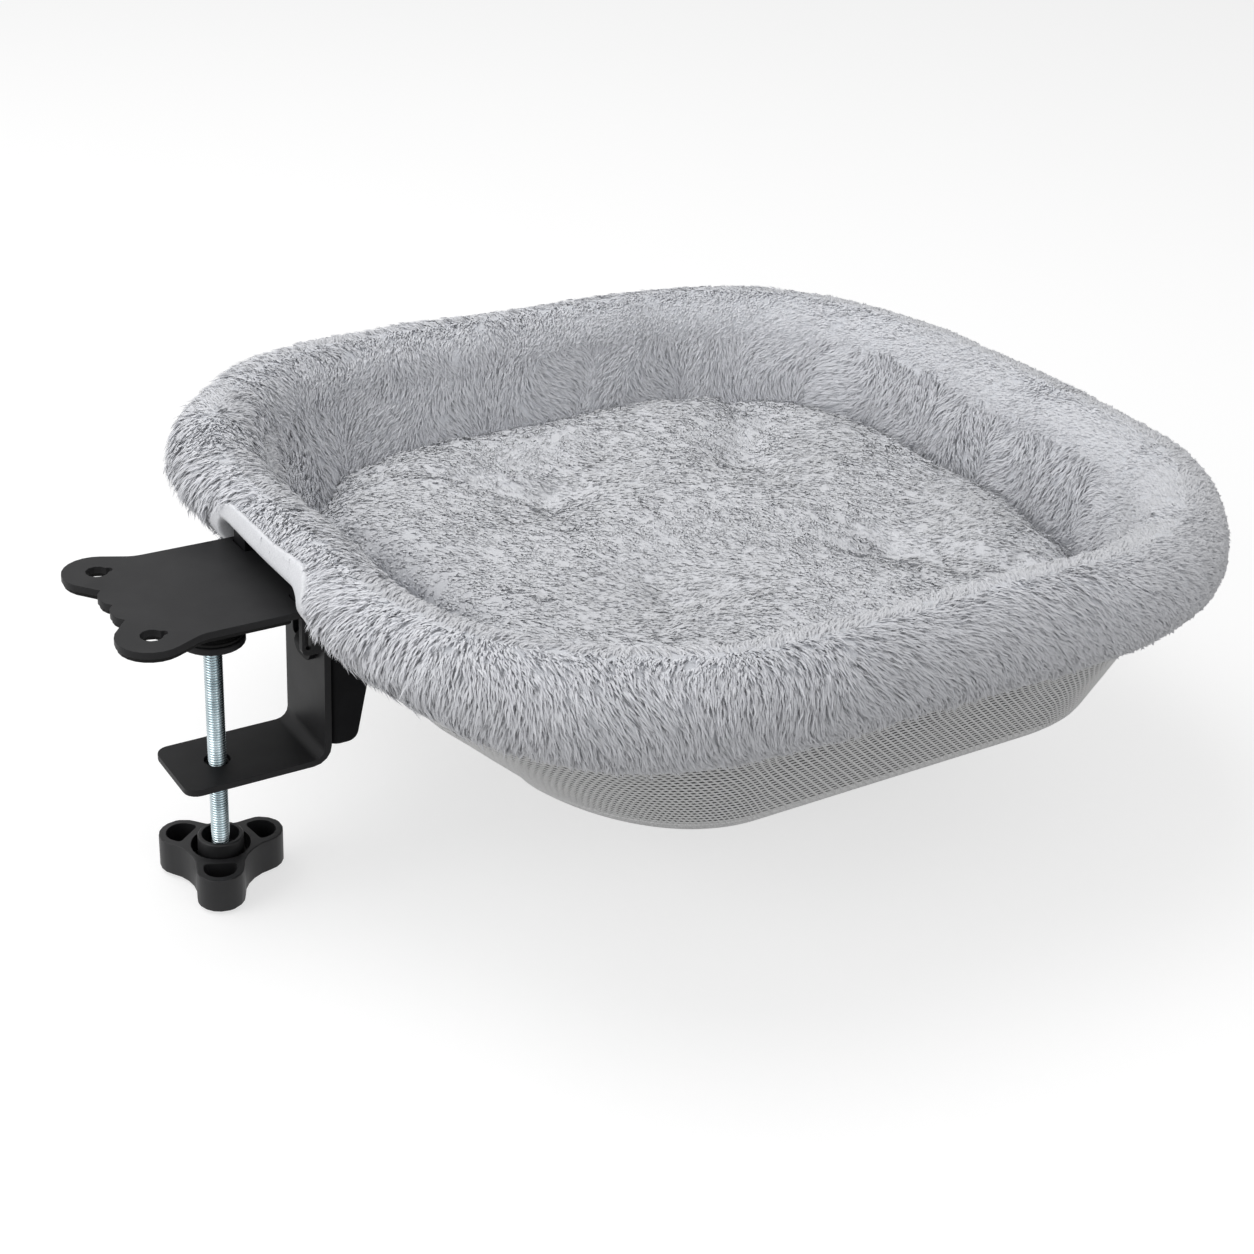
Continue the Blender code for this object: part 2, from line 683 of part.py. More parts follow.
def make_knob(look, steel_look):
    made = prism("knob", lobe_outline(), [], KNOB_BOTTOM, KNOB_TOP, look)
    bevel = made.modifiers.new("edge", "BEVEL")
    bevel.width = KNOB_EDGE
    bevel.segments = 2
    bevel.limit_method = "ANGLE"
    root = KNOB_TOP - HUB_GROOVE_DEPTH
    cup = turned("cup", [
        (0, CUP_TOP), (CUP_RADIUS - CUP_EDGE, CUP_TOP), (CUP_RADIUS, CUP_TOP - CUP_EDGE),
        (CUP_RADIUS, root), (0, root),
    ], look)
    joined(made, cup, "UNION")
    groove_outer = HUB_RADIUS - HUB_WALL
    groove = turned("groove", [
        (CUP_RADIUS, CUP_TOP + CUT_OVERRUN), (groove_outer, CUP_TOP + CUT_OVERRUN),
        (groove_outer, root), (CUP_RADIUS, root),
    ], look, bored=True)
    joined(made, groove, "DIFFERENCE")
    bore = THREAD_RADIUS + THREAD_PLAY
    hollow = turned("hollow", [
        (0, CUP_TOP + CUT_OVERRUN), (CUP_RADIUS - CUP_WALL, CUP_TOP + CUT_OVERRUN),
        (CUP_RADIUS - CUP_WALL, CUP_FLOOR), (bore, CUP_FLOOR),
        (bore, SCREW_END - SEAT_GAP), (0, SCREW_END - SEAT_GAP),
    ], look)
    joined(made, hollow, "DIFFERENCE")
    for index in range(LOBE_COUNT):
        low = KNOB_TOP - LOBE_POCKET_DEPTH
        pocket = prism("pocket", lobe_pocket(index), [], low, KNOB_TOP + CUT_OVERRUN, look)
        joined(made, pocket, "DIFFERENCE")
    across = NUT_FLATS / math.sqrt(3)
    seat = prism("seat", circle(0, 0, across + SEAT_GAP, NUT_SIDES), [],
                 NUT_BOTTOM - SEAT_GAP, NUT_TOP + SEAT_GAP, look)
    joined(made, seat, "DIFFERENCE")
    nut = prism("knob_nut", circle(0, 0, across, NUT_SIDES), [circle(0, 0, bore)],
                NUT_BOTTOM, NUT_TOP, steel_look)
    for piece in (made, nut):
        set_origin(piece, (0, 0, KNOB_TOP))


# Path of the ring
RING_STRETCHES = (
    ("line", RING_HALF_WIDTH - RING_CORNER_RADIUS),
    ("arc", RING_CORNER_RADIUS, QUARTER),
    ("line", 2 * (RING_HALF_LENGTH - RING_CORNER_RADIUS)),
    ("arc", RING_CORNER_RADIUS, QUARTER),
    ("line", RING_HALF_WIDTH - RING_CORNER_RADIUS),
)
RING_HALF_PERIMETER = (
    2 * (RING_HALF_WIDTH - RING_CORNER_RADIUS) + math.pi * RING_CORNER_RADIUS
    + 2 * (RING_HALF_LENGTH - RING_CORNER_RADIUS)
)


def ring_point(distance):
    """Plan point and outward normal, counted from the crossbar's middle along the near side."""
    around = distance % (2 * RING_HALF_PERIMETER)
    mirror = around > RING_HALF_PERIMETER
    if mirror:
        around = 2 * RING_HALF_PERIMETER - around
    point, normal = bent(around, RING_STRETCHES)
    side = 1 if mirror else -1
    return (Vector((TUBE_X + point.y, side * point.x)),
            Vector((-normal.y, -side * normal.x)))


def along(start, end, count):
    return [start + (end - start) * i / count for i in range(count + 1)]


BEND_STARTS = (
    RING_HALF_WIDTH - RING_CORNER_RADIUS,
    RING_HALF_PERIMETER - RING_HALF_WIDTH + RING_CORNER_RADIUS - RING_CORNER_RADIUS * QUARTER,
)


def half_ring_stations():
    """Stations round the two near corners, which the pieces of the ring share."""
    found = []
    for start in BEND_STARTS:
        found += along(start, start + RING_CORNER_RADIUS * QUARTER, RING_BEND_STEPS)
    return found


def ring_stations(extra=()):
    half = sorted(half_ring_stations() + list(extra))
    return half + [2 * RING_HALF_PERIMETER - station for station in reversed(half)]


# Steel ring
def tube_rings(stations, outer, inner):
    rings = []
    for station in stations:
        point, normal = ring_point(station)
        loop = []
        for radius in (outer, inner):
            loop.append([
                Vector((point.x + normal.x * a, point.y + normal.y * a, TUBE_Z + b))
                for a, b in circle(0, 0, radius, TUBE_SIDES)
            ])
        rings.append(loop)
    return rings


def make_tube(name, stations, outer, inner, holes, look):
    rings = tube_rings(stations, outer, inner)
    sides = TUBE_SIDES
    vertices = [p for loops in rings for loop in loops for p in loop]
    faces = []
    for i in range(len(rings) - 1):
        for layer in range(2):
            here = (2 * i + layer) * sides
            there = here + 2 * sides
            for k in range(sides):
                n = (k + 1) % sides
                quad = [here + k, here + n, there + n, there + k]
                faces.append(quad if layer else quad[::-1])
    for start in (0, 2 * (len(rings) - 1) * sides):
        for k in range(sides):
            n = (k + 1) % sides
            faces.append([start + k, start + n, start + sides + n, start + sides + k])
    made = finish(name, vertices, faces, look)
    for station in holes:
        point = ring_point(station)[0]
        radius = JOINT_SCREW_RADIUS + SEAT_GAP
        cutter = prism("cutter", circle(point.x, point.y, radius, SCREW_SIDES), [],
                       TUBE_Z - TUBE_RADIUS - CUT_OVERRUN, TUBE_Z, look)
        joined(made, cutter, "DIFFERENCE")
    return made


def make_ring(look, spigot_look, screw_look):
    lap = 2 * RING_HALF_PERIMETER
    gap = SEAT_GAP / 2
    near_screw = CROSSBAR_HALF + JOINT_SCREW_INSET
    far = RING_HALF_PERIMETER
    far_screws = (far - JOINT_SCREW_INSET, far + JOINT_SCREW_INSET)
    marks = [CROSSBAR_HALF + gap, *half_ring_stations(), far - gap]
    make_tube("crossbar_tube", [-CROSSBAR_HALF + gap, CROSSBAR_HALF - gap],
              TUBE_RADIUS, TUBE_BORE, [], look)
    make_tube("ring_tube_near", marks, TUBE_RADIUS, TUBE_BORE,
              [near_screw, far_screws[0]], look)
    make_tube("ring_tube_far", [lap - m for m in reversed(marks)], TUBE_RADIUS, TUBE_BORE,
              [lap - near_screw, far_screws[1]], look)
    inner = SPIGOT_RADIUS - SPIGOT_WALL
    joints = {
        "spigot_near": (CROSSBAR_HALF, [near_screw]),
        "spigot_far": (lap - CROSSBAR_HALF, [lap - near_screw]),
        "spigot_outer": (far, list(far_screws)),
    }
    for name, (middle, holes) in joints.items():
        ends = [middle - SPIGOT_HALF, middle + SPIGOT_HALF]
        make_tube(name, ends, SPIGOT_RADIUS, inner, holes, spigot_look)
    places = {
        "joint_screw_near": near_screw, "joint_screw_far": lap - near_screw,
        "joint_screw_outer_near": far_screws[0], "joint_screw_outer_far": far_screws[1],
    }
    head_top = TUBE_Z - TUBE_RADIUS - SEAT_GAP
    for name, station in places.items():
        made = turned(name, [
            (0, TUBE_Z - SPIGOT_RADIUS + 2 * SPIGOT_WALL),
            (JOINT_SCREW_RADIUS, TUBE_Z - SPIGOT_RADIUS + 2 * SPIGOT_WALL),
            (JOINT_SCREW_RADIUS, head_top), (JOINT_HEAD_RADIUS, head_top),
            (JOINT_HEAD_RADIUS - JOINT_HEAD_TAPER, head_top - JOINT_HEAD_HEIGHT),
            (0, head_top - JOINT_HEAD_HEIGHT),
        ], screw_look, SCREW_SIDES)
        point = ring_point(station)[0]
        made.location = (point.x, point.y, 0)


# Support bracket: web against the arm's back, cheeks toward the hammock
BRACKET_FACE = ARM_BACK + SEAT_GAP
BRACKET_MIDDLE = BRACKET_FACE + BRACKET_SHEET / 2
BRACKET_BEND = BRACKET_BEND_RADIUS + BRACKET_SHEET / 2
CHEEK_MIDDLE = BRACKET_HALF_WIDTH - BRACKET_SHEET / 2
CHEEK_RUN = BRACKET_BELLY_DEPTH - BRACKET_SHEET / 2 - BRACKET_BEND
BRACKET_PATH = (
    ("line", CHEEK_RUN),
    ("arc", BRACKET_BEND, QUARTER),
    ("line", 2 * (CHEEK_MIDDLE - BRACKET_BEND)),
    ("arc", BRACKET_BEND, QUARTER),
    ("line", CHEEK_RUN),
)
BRACKET_LENGTH = 2 * CHEEK_RUN + 2 * BRACKET_BEND * QUARTER + BRACKET_PATH[2][1]


def make_support_bracket(look):
    def place(s, t, side):
        point, normal = bent(s, BRACKET_PATH)
        point -= normal * side * BRACKET_SHEET / 2
        x = BRACKET_FACE + BRACKET_BELLY_DEPTH - point.x
        return Vector((x, CHEEK_MIDDLE - point.y, t))

    def edge(depth):
        return BRACKET_BELLY_DEPTH - depth

    half = [
        (edge(BRACKET_FOOT_DEPTH), -BRACKET_BOTTOM, BRACKET_CORNER_RADIUS),
        (edge(BRACKET_BELLY_DEPTH), -BRACKET_BELLY, BRACKET_CORNER_RADIUS),
        (edge(BRACKET_TOP_DEPTH), -BRACKET_WAIST, BRACKET_CORNER_RADIUS),
        (edge(BRACKET_TOP_DEPTH), BRACKET_TOP, 0),
    ]
    other = [(BRACKET_LENGTH - s, t, radius) for s, t, radius in reversed(half)]
    outline = rounded(half + other)
    sheet("support_bracket", outline, [], bend_creases(BRACKET_PATH), place, look)


def make_hanger_hooks(look):
    """Curved straps over the crossbar whose tails drop into the plate's slots."""
    tip = PLATE_BOTTOM - HOOK_TIP_GAP
    center = (TUBE_X, TUBE_Z)
    outer = arc(center, HOOK_OUTER, HOOK_START_ANGLE, math.pi, 2 * ARC_STEPS)
    inner = arc(center, HOOK_INNER, math.pi, HOOK_START_ANGLE, 2 * ARC_STEPS)
    tail = [(TUBE_X - HOOK_OUTER, tip), (TUBE_X - HOOK_INNER, tip)]
    for name, side in (("hanger_hook_far", 1), ("hanger_hook_near", -1)):
        middle = side * HOOK_SPACING / 2

        def place(s, t, face, middle=middle):
            return Vector((s, middle + face * HOOK_WIDTH / 2, t))
        sheet(name, outer + tail + inner, [], [], place, look)


def make_latch_tongue(look):
    """Joggled tongue through the arm's window, hooked over the window's lower edge."""
    bend = TONGUE_BEND_RADIUS + TONGUE_SHEET / 2
    joggle = math.radians(45)
    offset = TONGUE_SHEET + SEAT_GAP
    slope = (offset - 2 * bend * (1 - math.cos(joggle))) / math.sin(joggle)
    rise = TONGUE_DROP + SEAT_GAP
    climb = 2 * bend * math.sin(joggle) + slope * math.cos(joggle)
    path = (
        ("line", rise), ("arc", bend, joggle), ("line", slope), ("arc", bend, -joggle),
        ("line", TONGUE_HEIGHT - rise - climb),
    )
    face = SCREW_TO_ARM - SEAT_GAP - TONGUE_SHEET / 2
    bottom = -WINDOW_TOP - WINDOW_HEIGHT - TONGUE_DROP

    def place(s, t, side):
        point, normal = bent(s, path)
        point += normal * side * TONGUE_SHEET / 2
        return Vector((face + point.y, t, bottom + point.x))

    end = TONGUE_HEIGHT - climb + slope + 2 * bend * joggle
    outline = rounded([
        (0, -TONGUE_NEAR_SIDE, TONGUE_CORNER_RADIUS), (end, -TONGUE_NEAR_SIDE, 0),
        (end, TONGUE_FAR_SIDE, 0), (0, TONGUE_FAR_SIDE, TONGUE_CORNER_RADIUS),
    ])
    sheet("latch_tongue", outline, [], bend_creases(path), place, look)


# Padded rim
def slit_angle(half_width, half_span):
    return math.asin(half_span / half_width)


def roll_section(outer, inner, steps):
    """Loop of (outward, up) points: outer shape, then the bore back, with a slit below."""
    loop = []
    for half_width, half_height, rise, reverse in (outer, inner):
        slit = slit_angle(half_width, SEAM_HALF_WIDTH)
        start = -QUARTER + slit
        angles = along(start, start + 2 * math.pi - 2 * slit, steps)
        points = [(half_width * math.cos(a), half_height * math.sin(a) + rise) for a in angles]
        loop += points[::-1] if reverse else points
    return loop


def roll_ring(name, outer, inner, steps, look):
    section = roll_section(outer, inner, steps)
    rings = []
    for station in ring_stations():
        point, normal = ring_point(station)
        rings.append([
            Vector((point.x + normal.x * a, point.y + normal.y * a, ROLL_Z + b))
            for a, b in section
        ])
    return skin(name, rings, look, closed=True)


def make_rim(cover_look, core_look, trim_look):
    reach = OPENING_WIDTH / 2
    front = TUBE_X - ROLL_HALF_WIDTH - CUT_OVERRUN
    under = ROLL_Z - ROLL_HALF_HEIGHT - CUT_OVERRUN
    above = ROLL_Z + ROLL_HALF_HEIGHT + CUT_OVERRUN
    cover = roll_ring(
        "rim_cover", (ROLL_HALF_WIDTH, ROLL_HALF_HEIGHT, 0.0, False),
        (COVER_INNER_WIDTH, COVER_INNER_HEIGHT, 0.0, True), ROLL_STEPS, cover_look,
    )
    joined(cover, box("cutter", (front, -reach, under), (OPENING_BACK, reach, OPENING_TOP),
                      cover_look), "DIFFERENCE")
    core = roll_ring(
        "rim_core", (CORE_HALF_WIDTH, CORE_HALF_HEIGHT, 0.0, False),
        (CORE_BORE, CORE_BORE, ROLL_BELOW_TUBE, True), ROLL_STEPS, core_look,
    )
    joined(core, box("cutter", (front, -reach, under), (OPENING_BACK, reach, above),
                     core_look), "DIFFERENCE")
    make_binding(trim_look)


def make_binding(look):
    """Smooth cord round the cover's opening."""
    middle_width = ROLL_HALF_WIDTH - COVER_THICKNESS / 2
    middle_height = ROLL_HALF_HEIGHT - COVER_THICKNESS / 2
    side_y = OPENING_WIDTH / 2 - SEAT_GAP - BINDING_RADIUS
    top_z = OPENING_TOP - SEAT_GAP - BINDING_RADIUS
    end = math.pi - math.asin((top_z - ROLL_Z) / middle_height)
    near = []
    for a in along(BINDING_START_ANGLE, end, 2 * ARC_STEPS):
        x = TUBE_X + middle_width * math.cos(a)
        near.append(Vector((x, -side_y, ROLL_Z + middle_height * math.sin(a))))
    path = near + [Vector((p.x, -p.y, p.z)) for p in reversed(near)]
    rings = []
    for i, point in enumerate(path):
        before = path[max(i - 1, 0)]
        after = path[min(i + 1, len(path) - 1)]
        heading = (after - before).normalized()
        across = heading.cross(Vector((1, 0, 1)).normalized()).normalized()
        third = heading.cross(across)
        rings.append([
            point + across * a + third * b
            for a, b in circle(0, 0, BINDING_RADIUS, PIPING_SIDES)
        ])
    skin("opening_binding", rings, look)


# Tray, liner and mat
def bowl_stations():
    """Ring stations with more beside the support bracket, where the tray draws back."""
    return ring_stations((RELIEF_HALF / 2, RELIEF_HALF, (RELIEF_HALF + BEND_STARTS[0]) / 2))


def relief_share(point):
    """1 beside the support bracket, fading to 0 at the corners and on the far sides."""
    if point.x > TUBE_X + RING_CORNER_RADIUS:
        return 0.0
    share = (RELIEF_HALF + RELIEF_FADE - abs(point.y)) / RELIEF_FADE
    share = min(max(share, 0.0), 1.0)
    return share * share * (3 - 2 * share)


def roll_under(inset):
    """Height of the roll's underside at a distance inside its centre line."""
    return ROLL_Z - ROLL_HALF_HEIGHT * math.sqrt(1 - (inset / ROLL_HALF_WIDTH) ** 2)


def tray_top(inset):
    return roll_under(inset) - SEAT_GAP


def tray_ring(share, extra, stations):
    """Ring on the tray's wall: share runs from 0 at the seam to 1 at the knee."""
    ring = []
    for station in stations:
        point, normal = ring_point(station)
        relief = RELIEF * relief_share(point)
        top = tray_top(TRAY_INSET + relief)
        inset_x = TRAY_INSET + relief + TRAY_RUN_LENGTH * share + extra
        inset_y = TRAY_INSET + relief + TRAY_RUN_WIDTH * share + extra
        x = point.x - normal.x * inset_x + TRAY_SHIFT * share
        y = point.y - normal.y * inset_y
        ring.append(Vector((x, y, top + (-TRAY_KNEE - top) * share)))
    return ring


def shrunk(ring, share, z):
    middle = Vector((RING_X + TRAY_SHIFT, 0))
    return [Vector((middle.x + (p.x - middle.x) * share, p.y * share, z)) for p in ring]


def bowl(name, outer, inner, look):
    """Shell through outer rings from rim to floor and inner rings from rim to floor."""
    size = len(outer[0])
    rings = outer[::-1] + inner
    vertices = [p for ring in rings for p in ring]
    faces = []
    for i in range(len(rings) - 1):
        for k in range(size):
            n = (k + 1) % size
            here = i * size
            faces.append([here + k, here + n, here + size + n, here + size + k])
    for ring in (rings[0], rings[-1]):
        start = 0 if ring is rings[0] else (len(rings) - 1) * size
        vertices.append(sum(ring, Vector()) / size)
        for k in range(size):
            faces.append([start + k, start + (k + 1) % size, len(vertices) - 1])
    return finish(name, vertices, faces, look, math.radians(50))


WALL_SHARES = (0.0, 0.33, 0.67, 1.0)
FLOOR_SHARES = ((0.95, 0.36), (0.89, 0.73), (0.76, 0.92), (0.45, 1.0))


def floor_rings(ring, lift):
    """Rounded knee and flat floor inside a ring at the knee."""
    drop = TRAY_DEPTH - TRAY_KNEE
    return [shrunk(ring, wide, -TRAY_KNEE - drop * deep + lift) for wide, deep in FLOOR_SHARES]


def make_tray(look, trim_look):
    stations = bowl_stations()
    slant = MESH_THICKNESS
    outer = [tray_ring(share, -slant / 2, stations) for share in WALL_SHARES]
    inner = [tray_ring(share, slant / 2, stations) for share in WALL_SHARES]
    outer += floor_rings(outer[-1], -slant / 2)
    inner += floor_rings(inner[-1], slant / 2)
    lower = roll_lowering(slant)
    outer[0] = [Vector((p.x, p.y, p.z - lower)) for p in outer[0]]
    inner[0] = [Vector((p.x, p.y, p.z - lower)) for p in inner[0]]
    bowl("mesh_tray", outer, inner, look)
    make_piping(trim_look, stations, lower)


def roll_lowering(width):
    """How far the roll's underside rises over a width at the relief, so edges stay clear."""
    deep = TRAY_INSET + RELIEF
    return roll_under(deep + width) - roll_under(deep)


def make_piping(look, stations, lower):
    rings = []
    for station in stations:
        point, normal = ring_point(station)
        relief = RELIEF * relief_share(point)
        inset = TRAY_INSET + relief - MESH_THICKNESS / 2 - SEAT_GAP - PIPING_RADIUS
        top = roll_under(max(inset - PIPING_RADIUS, 0)) - lower
        x = point.x - normal.x * inset
        y = point.y - normal.y * inset
        rings.append([
            Vector((x + normal.x * a, y + normal.y * a, top - PIPING_RADIUS + b))
            for a, b in circle(0, 0, PIPING_RADIUS, PIPING_SIDES)
        ])
    skin("seam_piping", rings, look, closed=True)


LINER_WALL_SHARES = ((0.35, 1.0), (0.7, 0.35), (1.0, 0.0))


def make_liner(look):
    stations = bowl_stations()
    inset = ROLL_HALF_WIDTH + 2 * SEAT_GAP

    def top_ring(extra, z):
        ring = []
        for station in stations:
            point, normal = ring_point(station)
            ring.append(Vector((*(point - normal * (inset + extra)), z)))
        return ring

    gap = MESH_THICKNESS / 2 + LINER_CLEARANCE
    wide = LINER_THICKNESS
    outer = [top_ring(0, LINER_TOP), top_ring(gap, -LINER_SHOULDER)]
    inner = [top_ring(wide, LINER_TOP), top_ring(wide + gap, -LINER_SHOULDER)]
    for share, spread in LINER_WALL_SHARES:
        outer.append(tray_ring(share, gap + spread * LINER_STAND_OFF, stations))
        inner.append(tray_ring(share, gap + spread * LINER_STAND_OFF + wide, stations))
    outer += floor_rings(outer[-1], gap)
    inner += floor_rings(inner[-1], gap + wide)
    bowl("plush_liner", outer, inner, look)


def mat_height(x, y, crown):
    """Crown of the mat: tufts drawn in round the middle, and pleats that puff up its border."""
    across = x - RING_X - TRAY_SHIFT
    height = crown
    for i in range(MAT_TUFTS):
        turn = math.pi * (2 * i + 1) / MAT_TUFTS
        dx = across - MAT_TUFT_REACH * math.cos(turn)
        dy = y - MAT_TUFT_REACH * math.sin(turn)
        height -= MAT_TUFT_DEPTH * math.exp(-(dx * dx + dy * dy) / MAT_TUFT_SPREAD ** 2)
    border = min(math.hypot(across / RING_HALF_LENGTH, y / RING_HALF_WIDTH), 1.0) ** 2
    return height + MAT_PLEAT_HEIGHT * border * math.cos(MAT_PLEATS * math.atan2(y, across))


MAT_BASE_SHARES = ((0.45, 0.0), (0.76, 0.1), (0.88, 0.3), (0.955, 0.65), (0.99, 0.92))
MAT_SIDE_SHARES = ((0.985, 0.30), (1.0, 0.62), (0.975, 0.87), (0.93, 1.0))
MAT_TOP_SHARES = ((0.84, 0.45), (0.72, 0.75), (0.58, 0.90), (0.40, 0.97), (0.20, 1.0))


def make_mat(look):
    """Stuffed mat that fills the liner up to its shoulder, with drawn-in sides."""
    stations = bowl_stations()
    gap = MESH_THICKNESS / 2 + LINER_CLEARANCE
    wall = LINER_THICKNESS + MAT_CLEARANCE + 3 * gap
    share = (MAT_EDGE - LINER_SHOULDER) / (TRAY_KNEE - LINER_SHOULDER)
    widest = tray_ring(share, wall, stations)
    floor = -TRAY_DEPTH + gap + LINER_THICKNESS + MAT_CLEARANCE
    low_ring = tray_ring(1.0, wall, stations)
    knee = TRAY_DEPTH - TRAY_KNEE
    rings = [shrunk(low_ring, wide, floor + knee * rise) for wide, rise in MAT_BASE_SHARES]
    top_z = -MAT_SHOULDER
    for wide, rise in MAT_SIDE_SHARES:
        z = -MAT_EDGE + (top_z + MAT_EDGE) * rise
        rings.append(shrunk(widest, wide, z))
    for wide, rise in MAT_TOP_SHARES:
        crown = top_z + (MAT_SHOULDER - MAT_CROWN) * rise
        ring = shrunk(widest, wide, crown)
        rings.append([Vector((p.x, p.y, mat_height(p.x, p.y, p.z))) for p in ring])
    bowl("plush_mat", [rings[0]], rings[1:], look)


def main():
    for old in list(bpy.data.objects):
        bpy.data.objects.remove(old)
    looks = make_materials()
    make_clamp_bracket(looks["powder_coat"])
    make_desk_pad(looks["pad_rubber"])
    make_edge_stops(looks["powder_coat"])
    make_thread_boss(looks["powder_coat"])
    make_pressure_foot(looks["pad_rubber"], looks["powder_coat"])
    make_screw(looks["zinc"])
    make_knob(looks["knob_plastic"], looks["zinc"])
    make_ring(looks["tube_steel"], looks["zinc"], looks["zinc"])
    make_support_bracket(looks["bracket_coat"])
    make_hanger_hooks(looks["bracket_coat"])
    make_latch_tongue(looks["bracket_coat"])
    make_rim(looks["plush"], looks["foam"], looks["trim_fabric"])
    make_tray(looks["mesh_fabric"], looks["trim_fabric"])
    make_liner(looks["plush"])
    make_mat(looks["mat_plush"])


main()
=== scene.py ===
import json
import math

import bmesh
import bpy
import numpy as np
from mathutils import Matrix, Vector

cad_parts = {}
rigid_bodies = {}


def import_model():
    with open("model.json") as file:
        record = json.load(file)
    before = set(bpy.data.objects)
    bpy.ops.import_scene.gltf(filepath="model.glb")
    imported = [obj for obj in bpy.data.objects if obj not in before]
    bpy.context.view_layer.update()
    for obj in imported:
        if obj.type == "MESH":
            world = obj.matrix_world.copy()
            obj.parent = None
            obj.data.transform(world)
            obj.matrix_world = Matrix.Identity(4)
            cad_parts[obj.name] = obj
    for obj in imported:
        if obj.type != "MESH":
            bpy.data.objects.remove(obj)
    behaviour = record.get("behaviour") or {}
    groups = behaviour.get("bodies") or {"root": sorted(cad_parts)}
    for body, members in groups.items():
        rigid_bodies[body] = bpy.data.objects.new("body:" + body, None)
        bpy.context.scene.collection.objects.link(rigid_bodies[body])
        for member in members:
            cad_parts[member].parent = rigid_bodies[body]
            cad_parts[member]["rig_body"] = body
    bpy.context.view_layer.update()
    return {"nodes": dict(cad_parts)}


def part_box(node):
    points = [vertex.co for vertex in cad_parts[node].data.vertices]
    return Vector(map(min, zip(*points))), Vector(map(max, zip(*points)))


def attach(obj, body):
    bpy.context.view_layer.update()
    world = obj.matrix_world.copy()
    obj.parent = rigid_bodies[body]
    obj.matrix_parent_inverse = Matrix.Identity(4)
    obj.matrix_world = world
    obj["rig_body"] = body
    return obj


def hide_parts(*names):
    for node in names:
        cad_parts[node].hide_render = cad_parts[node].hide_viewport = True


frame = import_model()
nodes = frame["nodes"]
TAU = 2 * math.pi

# Ring path, as in the model: half sizes, corner radius and the tube's place
HALF_LENGTH, HALF_WIDTH, CORNER = 0.2035, 0.183, 0.125
TUBE_X, TUBE_Z = 0.0365, 0.0131
ROLL_Z = 0.0063
RUN_A = HALF_WIDTH - CORNER
RUN_B = 2 * (HALF_LENGTH - CORNER)
BEND = CORNER * math.pi / 2
HALF_LAP = 2 * RUN_A + RUN_B + 2 * BEND
LAP = 2 * HALF_LAP


def ring(s):
    """Plan points and outward normals at distances s from the crossbar's middle."""
    s = np.mod(np.asarray(s, float), LAP)
    far = s > HALF_LAP
    d = np.where(far, LAP - s, s)
    x, y = np.zeros_like(d), np.zeros_like(d)
    nx, ny = np.zeros_like(d), np.zeros_like(d)
    ends = np.cumsum([RUN_A, BEND, RUN_B, BEND, RUN_A])
    a = d <= ends[0]
    x[a], y[a], nx[a] = 0, d[a], -1
    b = (d > ends[0]) & (d <= ends[1])
    t = (d[b] - ends[0]) / CORNER
    x[b], y[b] = CORNER - CORNER * np.cos(t), RUN_A + CORNER * np.sin(t)
    nx[b], ny[b] = -np.cos(t), np.sin(t)
    c = (d > ends[1]) & (d <= ends[2])
    x[c], y[c], ny[c] = CORNER + d[c] - ends[1], HALF_WIDTH, 1
    e = (d > ends[2]) & (d <= ends[3])
    t = (d[e] - ends[2]) / CORNER
    x[e], y[e] = CORNER + RUN_B + CORNER * np.sin(t), RUN_A + CORNER * np.cos(t)
    nx[e], ny[e] = np.sin(t), np.cos(t)
    f = d > ends[3]
    x[f], y[f], nx[f] = 2 * HALF_LENGTH, RUN_A - (d[f] - ends[3]), 1
    side = np.where(far, 1.0, -1.0)
    return np.stack([TUBE_X + x, side * y], -1), np.stack([nx, side * ny], -1)


def waves(p, scale, seed, count=7):
    """Smooth pseudo-random field in -1..1 over points, with features of about scale metres."""
    draw = np.random.default_rng(seed)
    total = np.zeros(len(p))
    for _ in range(count):
        axis = draw.normal(size=3)
        axis *= TAU / (scale * draw.uniform(0.7, 1.6)) / np.linalg.norm(axis)
        total += np.sin(p @ axis + draw.uniform(0, TAU))
    return total / math.sqrt(count / 2) / 1.6


# Materials
def node_material(name, color, roughness, metallic=0.0, **sockets):
    made = bpy.data.materials.new(name)
    made.use_nodes = True
    shader = made.node_tree.nodes["Principled BSDF"]
    shader.inputs["Base Color"].default_value = (*color, 1)
    shader.inputs["Roughness"].default_value = roughness
    shader.inputs["Metallic"].default_value = metallic
    for key, value in sockets.items():
        shader.inputs[key.replace("_", " ")].default_value = value
    return made, made.node_tree, shader


def noise(tree, scale, detail=3.0, coordinates="Object"):
    where = tree.nodes.new("ShaderNodeTexCoord")
    made = tree.nodes.new("ShaderNodeTexNoise")
    made.inputs["Scale"].default_value = scale
    made.inputs["Detail"].default_value = detail
    tree.links.new(where.outputs[coordinates], made.inputs["Vector"])
    return made.outputs["Fac"]


def ramp(tree, factor, low, high, start=0.3, end=0.7):
    made = tree.nodes.new("ShaderNodeValToRGB")
    made.color_ramp.elements[0].position = start
    made.color_ramp.elements[1].position = end
    made.color_ramp.elements[0].color = (*low, 1)
    made.color_ramp.elements[1].color = (*high, 1)
    tree.links.new(factor, made.inputs["Fac"])
    return made.outputs["Color"]


def bump(tree, shader, height, strength, distance):
    made = tree.nodes.new("ShaderNodeBump")
    made.inputs["Strength"].default_value = strength
    made.inputs["Distance"].default_value = distance
    tree.links.new(height, made.inputs["Height"])
    tree.links.new(made.outputs["Normal"], shader.inputs["Normal"])


